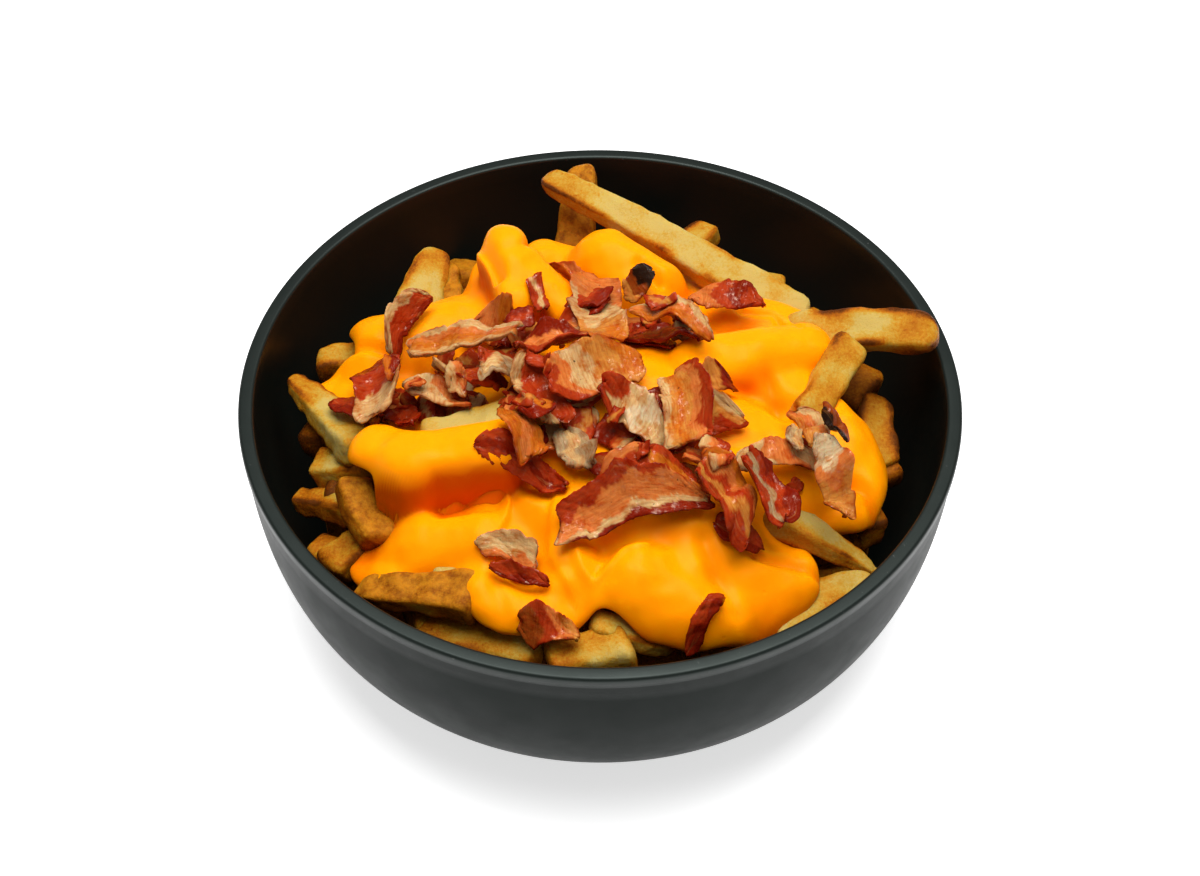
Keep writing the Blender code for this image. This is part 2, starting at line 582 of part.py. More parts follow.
def soft_sheet(support, x, y):
    """Height of a limp piece: the best plane with a limited slope, and part of the bumps."""
    flat = np.stack((x.ravel() - x.mean(), y.ravel() - y.mean(), np.ones(x.size)), axis=1)
    plane = np.linalg.lstsq(flat, support.ravel(), rcond=None)[0]
    bumps = support - (flat @ plane).reshape(x.shape)
    steep = math.hypot(plane[0], plane[1])
    plane[:2] *= min(1.0, DRAPE_SLOPE / max(steep, 0.001))
    return (flat @ plane).reshape(x.shape) + np.clip(bumps, -DRAPE_BEND, DRAPE_BEND)


def bacon_plan(piece, draw):
    """Plan of a bacon piece, and how high each point stands over what the piece lies on."""
    start, end, width, tilt, arch, wave, bend = piece
    start = np.array(start, float)
    end = np.array(end, float)
    u = np.linspace(0.0, 1.0, BACON_ALONG)[:, None]
    v = np.linspace(-1.0, 1.0, BACON_ACROSS)[None, :]
    along = (end - start) / np.linalg.norm(end - start)
    side = np.array((-along[1], along[0]))
    ends = 1.0 - BACON_TAPER * np.abs(2.0 * u - 1.0) ** 2.5 * draw.uniform(0.3, 1.0)
    half = 0.5 * width * ends * (1.0 + draw.uniform(-0.16, 0.16, (BACON_ALONG, 1)))
    ragged = draw.uniform(-0.06, 0.06, (BACON_ALONG, BACON_ACROSS)) * (np.abs(2 * u - 1) > 0.9)
    lean = math.radians(tilt)
    out = half * v * math.cos(lean) + bend * 4.0 * u * (1.0 - u)
    run = np.linalg.norm(end - start) * (u + ragged)
    x = start[0] + along[0] * run + side[0] * out
    y = start[1] + along[1] * run + side[1] * out
    turn = draw.uniform(0.0, 2.0 * math.pi)
    rise = (arch * 4.0 * u * (1.0 - u) + half * (v + 1.0) * math.sin(lean)
            + wave * np.sin(2.6 * math.pi * u + 1.3 * v + turn)
            + 0.35 * arch * v * v)
    return x, y, rise


def bacon_faces():
    """Faces of a slab on the piece's grid: upper side, lower side and the edge round them."""
    rows, columns = BACON_ALONG, BACON_ACROSS
    count = rows * columns
    faces = []
    for i in range(rows - 1):
        for j in range(columns - 1):
            a, b = i * columns + j, (i + 1) * columns + j
            faces += [(a, b, b + 1), (a, b + 1, a + 1)]
            faces += [(count + a, count + b + 1, count + b), (count + a, count + a + 1, count + b + 1)]
    rim = [j for j in range(columns)]
    rim += [i * columns + columns - 1 for i in range(1, rows)]
    rim += [(rows - 1) * columns + j for j in range(columns - 2, -1, -1)]
    rim += [i * columns for i in range(rows - 2, 0, -1)]
    for a, b in zip(rim, rim[1:] + rim[:1]):
        faces.append((a, b, count + b, count + a))
    return faces


def lay_bacon(relief, index, piece, material):
    """Lay one piece on what is there: it follows the soft relief and is raised until clear."""
    draw = np.random.default_rng(SEED * 100 + index)
    x, y, rise = bacon_plan(piece, draw)
    low = soft_sheet(support_under(relief, x, y), x, y) + rise
    lower = np.stack((x, y, low), axis=2).reshape(-1, 3)
    count = len(lower)
    faces = bacon_faces()
    sheet = np.array([f for f in faces if max(f) < count and len(f) == 3])
    dense = spread(lower, sheet)
    lift = float(np.max(relief[relief_cell(dense)] - dense[:, 2])) + GAP
    lower[:, 2] += lift
    upper = lower.copy()
    upper[:, 2] += BACON_THICK / math.cos(math.radians(min(piece[3], 60)))
    name = f"bacon_{index + 1:02d}"
    thing = new_object(name, solid_from(np.concatenate((upper, lower)), faces), material)
    add_to_relief(relief, spread(upper, sheet))
    return thing


def build():
    """Make the bowl, the heap of fries, the sauce and the bacon, from the bottom up."""
    clear_scene()
    bowl_finish = new_material("bowl_black", (0.012, 0.013, 0.013), 0.45)
    fry_finish = new_material("fried_potato", (0.72, 0.42, 0.12), 0.55)
    sauce_finish = new_material("cheese_sauce", (1.0, 0.36, 0.01), 0.35)
    bacon_finish = new_material("bacon", (0.42, 0.08, 0.05), 0.40)

    make_bowl(bowl_finish)

    heap = make_core(fry_finish)
    fries = []
    cutters = []
    for index, fry in enumerate(all_fries()):
        points = fry_points(fry, np.random.default_rng(SEED + index))
        shift = shift_into_bowl(points)
        wider = fry_points(fry, np.random.default_rng(SEED + index), GAP)
        faces = fry_faces(len(stations_of(fry)))
        name = f"fry_{index + 1:02d}"
        fries.append(new_object(name, solid_from(points + shift, faces), fry_finish))
        cutters.append(new_object(name + "_cut", solid_from(wider + shift, faces), sauce_finish))
    join(heap, fries, "UNION")
    keep_one_body(heap)

    sauce = make_sauce(sauce_finish)
    join(sauce, cutters, "DIFFERENCE")
    keep_one_body(sauce)

    relief = relief_of((heap, sauce))
    for index, piece in enumerate(BACON):
        lay_bacon(relief, index, piece, bacon_finish)


build()
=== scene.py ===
"""Cheese fries: a round black bowl, thick cut fries, a poured cheese sauce and crisp bacon.

The dish is put together from the bowl up. The front faces -Y, and the origin is the middle of the
bowl's foot. Sizes are in millimetres, and those of the camera, the light and the table in metres.
"""
import json
import math

import bpy
import numpy as np
from mathutils import Matrix, Vector
from mathutils.bvhtree import BVHTree

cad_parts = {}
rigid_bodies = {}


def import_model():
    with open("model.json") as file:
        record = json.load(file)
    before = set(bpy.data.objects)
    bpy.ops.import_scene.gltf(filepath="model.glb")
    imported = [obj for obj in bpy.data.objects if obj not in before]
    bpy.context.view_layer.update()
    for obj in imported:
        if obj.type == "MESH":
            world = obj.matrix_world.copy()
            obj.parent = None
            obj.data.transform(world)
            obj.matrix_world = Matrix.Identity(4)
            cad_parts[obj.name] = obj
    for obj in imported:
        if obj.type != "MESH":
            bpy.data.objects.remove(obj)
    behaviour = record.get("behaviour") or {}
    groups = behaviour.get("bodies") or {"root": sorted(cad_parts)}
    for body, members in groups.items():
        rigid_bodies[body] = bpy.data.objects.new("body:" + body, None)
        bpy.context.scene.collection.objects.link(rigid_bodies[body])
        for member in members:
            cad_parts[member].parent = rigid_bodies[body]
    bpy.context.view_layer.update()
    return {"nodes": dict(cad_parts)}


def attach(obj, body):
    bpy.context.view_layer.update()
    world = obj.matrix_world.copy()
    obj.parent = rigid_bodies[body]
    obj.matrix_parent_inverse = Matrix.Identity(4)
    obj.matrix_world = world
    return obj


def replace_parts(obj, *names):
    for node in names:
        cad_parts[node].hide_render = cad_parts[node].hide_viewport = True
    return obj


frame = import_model()


# The table and the light: a white table top that glows a little, one broad soft light above the
# dish, and bright even surroundings. The camera looks down on the front of the dish.
def look_from(tilt, roll, middle, distance):
    """Camera matrix: on a line that rises by tilt from the middle towards -Y, then rolled."""
    back = Vector((0.0, -math.cos(tilt), math.sin(tilt)))
    up = Vector((0.0, math.sin(tilt), math.cos(tilt)))
    right = Vector((1.0, 0.0, 0.0))
    across = right * math.cos(roll) - up * math.sin(roll)
    upward = right * math.sin(roll) + up * math.cos(roll)
    place = Vector((0.0, 0.0, middle)) + back * distance
    return Matrix((
        (across.x, upward.x, back.x, place.x),
        (across.y, upward.y, back.y, place.y),
        (across.z, upward.z, back.z, place.z),
        (0.0, 0.0, 0.0, 1.0)))


def soft_light(name, place, aim, size, watts):
    """Square area light at a place, turned towards the point that it is aimed at."""
    lamp = bpy.data.lights.new(name, "AREA")
    lamp.size = size
    lamp.energy = watts
    light = bpy.data.objects.new(name, lamp)
    light.location = place
    light.rotation_euler = (Vector(aim) - Vector(place)).to_track_quat("-Z", "Y").to_euler()
    bpy.context.scene.collection.objects.link(light)


scene = bpy.context.scene
lens = bpy.data.cameras.new("camera")
lens.lens = 54.0
lens.clip_start = 0.01
camera = bpy.data.objects.new("camera", lens)
camera.matrix_world = look_from(tilt=math.radians(48.43), roll=math.radians(-0.45),
                                middle=0.04587, distance=0.467)
scene.collection.objects.link(camera)
scene.camera = camera
scene.view_settings.view_transform = "Standard"

soft_light("overhead", place=(0.02, 0.02, 0.70), aim=(0.0, 0.0, 0.05), size=0.52, watts=7.6)
surroundings = bpy.data.worlds.new("surroundings")
surroundings.use_nodes = True
glow = surroundings.node_tree.nodes["Background"].inputs
glow["Color"].default_value = (1.0, 1.0, 1.0, 1.0)
glow["Strength"].default_value = 0.26
scene.world = surroundings

pale = bpy.data.materials.new("pale_table")
pale.use_nodes = True
paint = pale.node_tree.nodes["Principled BSDF"].inputs
paint["Base Color"].default_value = (0.9, 0.9, 0.9, 1.0)
paint["Roughness"].default_value = 0.8
paint["Emission Color"].default_value = (1.0, 1.0, 1.0, 1.0)
paint["Emission Strength"].default_value = 0.62
top = bpy.data.meshes.new("table_top")
top.from_pydata([(-4, -4, 0), (4, -4, 0), (4, 4, 0), (-4, 4, 0)], [], [(0, 1, 2, 3)])
top.materials.append(pale)
table = bpy.data.objects.new("table_top", top)
scene.collection.objects.link(table)


# The bowl: glazed stoneware, satin black, thrown as one round piece with a recessed foot, a
# rounded wall and a raised lip. It is a profile turned once round.
BOWL_RADIUS = 90.0
BOWL_HEIGHT = 68.0
LIP_DEPTH = 3.5
LIP_STEP = 0.4
LIP_ROUND = 0.9
WALL = 3.8
FLOOR = 4.4
FOOT_RADIUS = 39.0
FOOT_WIDTH = 5.5
FOOT_RECESS = 1.0
FLAT_RINGS = (4.0, 20.0)
WALL_FOOT = FOOT_RADIUS + 1.0
WALL_POWER = 2.7
WALL_ROOT = 2.5
WALL_STEPS = 44
LIP_ROUND_STEPS = 6
BOWL_COLUMNS = 256
INSIDE_INSET = WALL - LIP_STEP

GLAZE = (0.0052, 0.0074, 0.0062)
SCUFF = (0.10, 0.10, 0.095)


def wall_radius(share, inset):
    """Radius of the wall, moved in by inset: share is 0 at its bottom and 1 at its top."""
    wide = BOWL_RADIUS - LIP_STEP - inset
    narrow = WALL_FOOT - inset
    return narrow + (wide - narrow) * share


def wall_curve(low, high, inset):
    """Rounded wall from its top to its bottom: a superellipse quarter, moved in by inset."""
    turn = np.linspace(0.0, 0.5 * math.pi, WALL_STEPS + 1)
    reach = wall_radius(np.abs(np.cos(turn)) ** (2.0 / WALL_ROOT), inset)
    height = high - (high - low) * np.sin(turn) ** (2.0 / WALL_POWER)
    return np.stack((reach, height), axis=1)


def inner_radius(z):
    """Radius of the bowl's inside at height z, along the same superellipse."""
    t = np.clip((BOWL_HEIGHT - z) / (BOWL_HEIGHT - FLOOR), 0.0, 1.0)
    return wall_radius((1.0 - t ** WALL_POWER) ** (1.0 / WALL_ROOT), INSIDE_INSET)


def lip_arc(radius, start, end):
    """Points of one of the lip's rounded corners, from one angle in degrees to another."""
    turn = np.radians(np.linspace(start, end, LIP_ROUND_STEPS + 1))
    return np.stack((radius + LIP_ROUND * np.cos(turn),
                     BOWL_HEIGHT - LIP_ROUND + LIP_ROUND * np.sin(turn)), axis=1)


def turned(radius, height, columns):
    """Profile turned round the middle: each point (r, z) goes to (r cos a, r sin a, z)."""
    turn = 2.0 * math.pi * np.arange(columns) / columns
    return np.stack((radius[:, None] * np.cos(turn), radius[:, None] * np.sin(turn),
                     np.repeat(height[:, None], columns, axis=1)), axis=2).reshape(-1, 3)


def grid_quads(rows, columns, first=0):
    """Quads between the rows of a grid whose columns run once round."""
    i = np.arange(rows - 1)[:, None]
    j = np.arange(columns)[None, :]
    k = (j + 1) % columns
    quads = np.stack((i * columns + j, i * columns + k, (i + 1) * columns + k,
                      (i + 1) * columns + j), axis=2)
    return first + quads.reshape(-1, 4)


def fans(rows, columns, first=0):
    """Triangles that close the first and the last row of such a grid on two points after it."""
    j = np.arange(columns)
    k = (j + 1) % columns
    last = (rows - 1) * columns
    low = np.full(columns, rows * columns)
    return first + np.concatenate((np.stack((low, k, j), axis=1),
                                   np.stack((low + 1, last + j, last + k), axis=1)))


def make_piece(name, points, faces, material, masks):
    """Object at the origin from points in millimetres and lists of faces, shaded smooth."""
    mesh = bpy.data.meshes.new(name)
    mesh.from_pydata((points * 0.001).tolist(), [], [f for part in faces for f in part.tolist()])
    mesh.materials.append(material)
    mesh.shade_smooth()
    for mask, value in masks:
        layer = mesh.attributes.new(mask, "FLOAT", "POINT")
        layer.data.foreach_set("value", np.asarray(value, np.float32).ravel())
    piece = bpy.data.objects.new(name, mesh)
    bpy.context.scene.collection.objects.link(piece)
    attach(piece, "root")
    return piece


def new_finish(name):
    """Empty material, with its node tree, its Principled shader and the object's coordinates."""
    material = bpy.data.materials.new(name)
    material.use_nodes = True
    tree = material.node_tree
    place = tree.nodes.new("ShaderNodeTexCoord")
    return material, tree, tree.nodes["Principled BSDF"], place.outputs["Object"]


def grain_group():
    """Shader group used by every finish: noise of a size in millimetres, from 0 to 1."""
    group = bpy.data.node_groups.new("grain", "ShaderNodeTree")
    for label, kind in (("Vector", "NodeSocketVector"), ("Size in mm", "NodeSocketFloat"),
                        ("Detail", "NodeSocketFloat"), ("Roughness", "NodeSocketFloat")):
        group.interface.new_socket(label, in_out="INPUT", socket_type=kind)
    group.interface.new_socket("Value", in_out="OUTPUT", socket_type="NodeSocketFloat")
    given = group.nodes.new("NodeGroupInput")
    scale = group.nodes.new("ShaderNodeMath")
    scale.operation = "DIVIDE"
    scale.inputs[0].default_value = 1000.0
    group.links.new(given.outputs["Size in mm"], scale.inputs[1])
    texture = group.nodes.new("ShaderNodeTexNoise")
    group.links.new(scale.outputs["Value"], texture.inputs["Scale"])
    for label in ("Vector", "Detail", "Roughness"):
        group.links.new(given.outputs[label], texture.inputs[label])
    result = group.nodes.new("NodeGroupOutput")
    group.links.new(texture.outputs["Fac"], result.inputs["Value"])
    return group


grain = grain_group()


def noise(tree, place, size, detail=3.0, roughness=0.55):
    """Value of the grain group at a place, for a size in millimetres."""
    node = tree.nodes.new("ShaderNodeGroup")
    node.node_tree = grain
    node.inputs["Size in mm"].default_value = size
    node.inputs["Detail"].default_value = detail
    node.inputs["Roughness"].default_value = roughness
    tree.links.new(place, node.inputs["Vector"])
    return node.outputs["Value"]


def remap(tree, value, low, high, first, last):
    """Value taken from the range low to high to the range first to last, and clamped."""
    node = tree.nodes.new("ShaderNodeMapRange")
    node.inputs["From Min"].default_value = low
    node.inputs["From Max"].default_value = high
    node.inputs["To Min"].default_value = first
    node.inputs["To Max"].default_value = last
    tree.links.new(value, node.inputs["Value"])
    return node.outputs["Result"]


def feed(tree, value, socket):
    """Give a socket another node's output, a number, or a colour of three numbers."""
    if isinstance(value, tuple):
        socket.default_value = (*value, 1.0)
    elif isinstance(value, (int, float)):
        socket.default_value = value
    else:
        tree.links.new(value, socket)


def math_of(tree, kind, first, second):
    """Math node of the given kind on two values, each a socket or a number."""
    node = tree.nodes.new("ShaderNodeMath")
    node.operation = kind
    feed(tree, first, node.inputs[0])
    feed(tree, second, node.inputs[1])
    return node.outputs["Value"]


def blend_of(tree, share, first, second, kind="MIX"):
    """Mix of two colours, of the given kind, by a share from 0 to 1."""
    node = tree.nodes.new("ShaderNodeMix")
    node.data_type = "RGBA"
    node.blend_type = kind
    feed(tree, share, node.inputs["Factor"])
    feed(tree, first, node.inputs[6])
    feed(tree, second, node.inputs[7])
    return node.outputs[2]


def relief_of(tree, shader, height, strength, depth):
    """Bump on the shader from a height: strength from 0 to 1, depth in millimetres."""
    node = tree.nodes.new("ShaderNodeBump")
    node.inputs["Strength"].default_value = strength
    node.inputs["Distance"].default_value = depth * 0.001
    tree.links.new(height, node.inputs["Height"])
    tree.links.new(node.outputs["Normal"], shader.inputs["Normal"])


def value_of(tree, name):
    """Value of one of the mesh's own masks."""
    node = tree.nodes.new("ShaderNodeAttribute")
    node.attribute_name = name
    return node.outputs["Fac"]


def black_glaze():
    """Satin black glaze: a fine uneven gloss, small pale scuffs on the lip, which is worn a little
    brighter, and a warmer sheen inside, whose orange tint is a painted reflection of the sauce."""
    material, tree, shader, place = new_finish("black_glaze")
    on_lip = value_of(tree, "lip")
    inside = value_of(tree, "inside")
    scuffs = remap(tree, noise(tree, place, 1.3, 5.0, 0.7), 0.66, 0.78, 0.0, 1.0)
    colour = blend_of(tree, math_of(tree, "MULTIPLY", scuffs, on_lip), GLAZE, SCUFF)
    tree.links.new(colour, shader.inputs["Base Color"])
    gloss = remap(tree, noise(tree, place, 9.0), 0.3, 0.7, 0.38, 0.46)
    gloss = math_of(tree, "SUBTRACT", gloss, math_of(tree, "MULTIPLY", inside, 0.1))
    tree.links.new(gloss, shader.inputs["Roughness"])
    sheen = math_of(tree, "ADD", remap(tree, inside, 0.0, 1.0, 0.05, 0.22),
                    remap(tree, on_lip, 0.0, 1.0, 0.0, 0.22))
    tree.links.new(sheen, shader.inputs["Specular IOR Level"])
    # Painted reflection: the inside's sheen is tinted orange, as if it reflected the sauce.
    tree.links.new(blend_of(tree, inside, (0.86, 1.0, 0.93), (1.0, 0.55, 0.26)),
                   shader.inputs["Specular Tint"])
    relief_of(tree, shader, noise(tree, place, 0.6, 2.0), 0.05, 0.05)
    return material


def bowl_profile():
    """Profile (radius, height) in two parts: from the middle underneath up the wall and over the
    top of the lip, and from there down the inside to the middle of the floor."""
    under_lip = BOWL_HEIGHT - LIP_DEPTH
    recess_edge = FOOT_RADIUS - FOOT_WIDTH
    recess = [(ring, FOOT_RECESS) for ring in FLAT_RINGS]
    foot = [(recess_edge - 1.6, FOOT_RECESS), (recess_edge - 0.8, 0.75), (recess_edge - 0.2, 0.2),
            (recess_edge, 0.0), (recess_edge + 1.0, 0.0), (FOOT_RADIUS - 1.0, 0.0), (FOOT_RADIUS, 0.0)]
    outside = wall_curve(0.0, under_lip, 0.0)[::-1][1:]
    step = [(BOWL_RADIUS - 0.28, under_lip + 0.10), (BOWL_RADIUS, under_lip + LIP_STEP)]
    outer_round = lip_arc(BOWL_RADIUS - LIP_ROUND, 0, 90)
    inner_round = lip_arc(BOWL_RADIUS - WALL + LIP_ROUND, 90, 180)
    half = LIP_ROUND_STEPS // 2 + 1
    inside = wall_curve(FLOOR, BOWL_HEIGHT, INSIDE_INSET)
    inside = inside[inside[:, 1] < BOWL_HEIGHT - LIP_ROUND]
    floor = [(ring, FLOOR) for ring in reversed(FLAT_RINGS)]
    return (np.concatenate((recess, foot, outside, step, outer_round, inner_round[:half])),
            np.concatenate((inner_round[half:], inside, floor)))


def make_bowl():
    """Turn the profile, with a mask for the lip and one for the inside."""
    outer, inner = bowl_profile()
    profile = np.concatenate((outer, inner))
    rows = len(profile)
    points = turned(profile[:, 0], profile[:, 1], BOWL_COLUMNS)
    points = np.concatenate((points, [(0.0, 0.0, FOOT_RECESS), (0.0, 0.0, FLOOR)]))
    lip = np.clip(points[:, 2] - BOWL_HEIGHT + LIP_DEPTH, 0.0, 1.0)
    inside = np.repeat(np.arange(rows) >= len(outer), BOWL_COLUMNS)
    inside = np.concatenate((inside, (False, True)))
    faces = (grid_quads(rows, BOWL_COLUMNS), fans(rows, BOWL_COLUMNS))
    bowl = make_piece("black_bowl", points, faces, black_glaze(), (("lip", lip), ("inside", inside)))
    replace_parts(bowl, "bowl")


make_bowl()


# The fries: thick sticks of potato cut with a knife, fried until their edges and ends brown,
# some with skin on one side. Each is a rounded square section carried along a bowed line, and
# the heap stands on a plain core that the sauce and the fries hide.
SEED = 7
CORE_TOP = 66.0
CORE_DROP = 29.0
DOME_REACH = 78.0
CORE_RADIUS = 73.0
CORE_SINK = 2.0
CORE_CLEARANCE = 0.9
CORE_COLUMNS = 120
# Painted shade: the core is coloured dark brown so that the gaps between the fries look deep.
CORE_SHADE_BROWN = 0.62
GAP = 0.35
FRY_GRID = (44, 40)
FRY_POWER = 2.6
FRY_TAIL = 2.4
# Painted shade low in the bowl: below this height the fries are coloured browner, up to the most at this
# depth under it.
FRY_SHADE_BELOW = 56.0
FRY_SHADE_DEPTH = 16.0
FRY_SHADE_MOST = 0.15

POTATO = ((0.12, (0.46, 0.322, 0.082)), (0.28, (0.45, 0.262, 0.034)), (0.43, (0.43, 0.185, 0.010)),
          (0.60, (0.36, 0.105, 0.003)), (0.78, (0.21, 0.052, 0.002)), (0.98, (0.085, 0.020, 0.002)))
SKIN = (0.45, 0.165, 0.007)
SKIN_SPECKS = (0.21, 0.054, 0.002)

# The fries of the ring lower down: how many, their size, how far out their middles are, and the
# half of their length
RING_FRIES = 19
RING_SIZE = 11.0
RING_REACH = 61.0
RING_HALF = 22.0
RING_GRID = (30, 32)

# Start, end, width, thickness, roll in degrees, bow, share of the width at the start and at the
# end, how brown it is, how brown its start is, the side with skin: 0 none, 1 top, 2 front,
# 3 both, and how long its rounded start is
FRIES = (
    ((-16, 66, 77), (54, 24, 63), 12.5, 9.5, -18, 2.5, 0.58, 1.00, 0.15, 0.8, 0, 8),
    ((-5, 78, 72), (-10, 50, 48), 12.5, 9.5, 0, 0.0, 0.80, 0.90, 0.44, 0.5, 1, 6),
    ((30, 63, 63), (8, 38, 53), 10.5, 9.5, 0, 0.0, 0.80, 0.90, 0.28, 0.4, 0, 3),
    ((85, 11, 75), (42, 18, 62), 14.5, 10.5, 24, 2.0, 0.68, 0.88, 0.22, 0.9, 0, 7),
    ((60, 32, 56), (36, 4, 65), 11.0, 10.0, 0, 0.0, 0.90, 0.90, 0.40, 0.3, 0, 3),
    ((64, 10, 71), (49, -14, 68), 11.5, 10.0, 20, 0.0, 0.85, 0.90, 0.29, 0.4, 0, 4),
    ((72, 10, 52), (71, -11, 46), 13.0, 9.0, 0, 0.0, 0.75, 0.80, 0.42, 0.4, 0, 9),
    ((72, 24, 47), (64, 10, 46), 10.5, 10.0, 10, 0.0, 0.90, 0.90, 0.50, 0.5, 0, 6),
    ((67, -48, 51), (40, -37, 62), 13.5, 9.5, -15, 1.0, 0.20, 1.00, 0.26, 0.4, 0, 3),
    ((66, -50, 52), (41, -60, 48), 14.5, 10.5, 10, 0.0, 0.45, 1.00, 0.26, 0.3, 0, 5),
    ((71, -23, 42), (60, -30, 44), 10.0, 10.0, 0, 0.0, 0.90, 0.90, 0.35, 0.4, 0, 3),
    ((-80, 8, 59), (-56, -18, 62), 17.0, 10.5, 14, -1.0, 0.28, 1.00, 0.15, 0.6, 0, 4),
    ((-75, 19, 52), (-54, 24, 52), 10.0, 9.0, 0, 0.0, 0.80, 0.90, 0.35, 0.4, 0, 3),
    ((-45, 55, 61), (-51, 22, 54), 18.0, 10.0, 15, 0.0, 0.55, 1.00, 0.22, 0.5, 0, 10),
    ((-41, 51, 58), (-37, 26, 54), 8.0, 9.0, -10, 0.0, 0.60, 0.90, 0.42, 0.4, 1, 3),
    ((-77, 1, 44), (-63, -5, 49), 10.5, 9.5, 0, 0.0, 0.90, 0.90, 0.55, 0.5, 0, 3),
    ((-71, -15, 50), (-54, -21, 58), 11.0, 10.0, 0, 0.0, 0.90, 0.95, 0.30, 0.3, 0, 3),
    ((-76, -21, 46), (-57, -31, 53), 10.5, 9.0, 5, 0.0, 0.60, 0.95, 0.30, 0.4, 0, 3),
    ((-61, -28, 61), (-52, -44, 56), 10.0, 9.0, 10, 0.0, 0.85, 0.95, 0.50, 0.5, 1, 3),
    ((-70, -33, 42), (-60, -44, 44), 10.0, 10.0, 0, 0.0, 0.90, 0.90, 0.45, 0.4, 0, 3),
    ((-66, -43, 45), (-53, -37, 52), 11.0, 9.5, 0, 0.0, 0.90, 0.90, 0.35, 0.4, 0, 3),
    ((-57, -55, 53), (-27, -63, 60), 12.5, 9.5, -10, 1.5, 0.50, 0.95, 0.50, 0.5, 3, 5),
    ((-42, -62, 46), (-12, -72, 50), 11.5, 10.0, 0, 0.0, 0.90, 0.90, 0.35, 0.4, 0, 3),
    ((-12, -73, 51), (8, -72, 54), 12.0, 11.0, 0, 0.0, 0.90, 0.85, 0.33, 0.3, 0, 3),
    ((-2, -66, 56), (18, -69, 50), 10.0, 8.5, 0, 1.0, 0.75, 0.60, 0.22, 0.3, 0, 3),
    ((-42, -25, 71), (-18, -20, 77), 11.5, 9.5, 5, 0.0, 0.90, 0.90, 0.10, 0.2, 0, 3),
    ((-33, -30, 64), (-18, -4, 68), 11.0, 10.0, 0, 0.0, 0.90, 0.90, 0.20, 0.3, 0, 3),
    ((-39, -53, 58), (-26, -53, 60), 10.0, 9.0, 0, 0.0, 0.90, 0.90, 0.18, 0.2, 0, 3),
)


def core_height(x, y):
    """Height of the core's dome over a point: it falls with the square of the reach."""
    return CORE_TOP - CORE_DROP * (x * x + y * y) / DOME_REACH ** 2


def ripple(points, size, draw):
    """Smooth unevenness of about unit height: twelve sine waves of random direction and phase."""
    total = 0.0
    for _ in range(12):
        way = draw.normal(size=3)
        way *= 2.0 * math.pi / (size * np.linalg.norm(way)) * draw.uniform(0.6, 1.4)
        total = total + np.sin(points @ way + draw.uniform(0.0, 2.0 * math.pi))
    return total / math.sqrt(6.0)


def ring_fries():
    """The ring of fries lower down, turned and placed by seeded draws, a little lower behind."""
    draw = np.random.default_rng(SEED)
    rows = []
    for k in range(RING_FRIES):
        bearing = 2.0 * math.pi * (k + draw.uniform(-0.25, 0.25)) / RING_FRIES
        heading = bearing + 0.5 * math.pi + draw.uniform(-0.9, 0.9)
        reach = RING_REACH + draw.uniform(-4.0, 4.0)
        height = core_height(reach, 0.0) + draw.uniform(-3.0, 2.0)
        height -= 3.0 * max(0.0, math.sin(bearing))
        half = RING_HALF * draw.uniform(0.7, 1.15)
        rise = half * draw.uniform(-0.15, 0.15)
        middle = np.array((reach * math.cos(bearing), reach * math.sin(bearing), height))
        along = np.array((half * math.cos(heading), half * math.sin(heading), rise))
        rows.append((middle - along, middle + along, RING_SIZE * draw.uniform(0.9, 1.1),
                     RING_SIZE * draw.uniform(0.8, 1.0), draw.uniform(-30.0, 30.0), 0.0,
                     draw.uniform(0.75, 0.95), draw.uniform(0.75, 0.95)))
    tone = np.random.default_rng(SEED + 90)
    return [(*row, tone.uniform(0.25, 0.6), tone.uniform(0.3, 0.7), int(tone.random() < 0.2), 3)
            for row in rows]


def blunt_end(away, nose):
    """Share of the full section at a distance from an end: a superellipse quarter over its nose."""
    return (1.0 - np.clip(1.0 - away / nose, 0.0, 1.0) ** FRY_POWER) ** (1.0 / FRY_POWER)


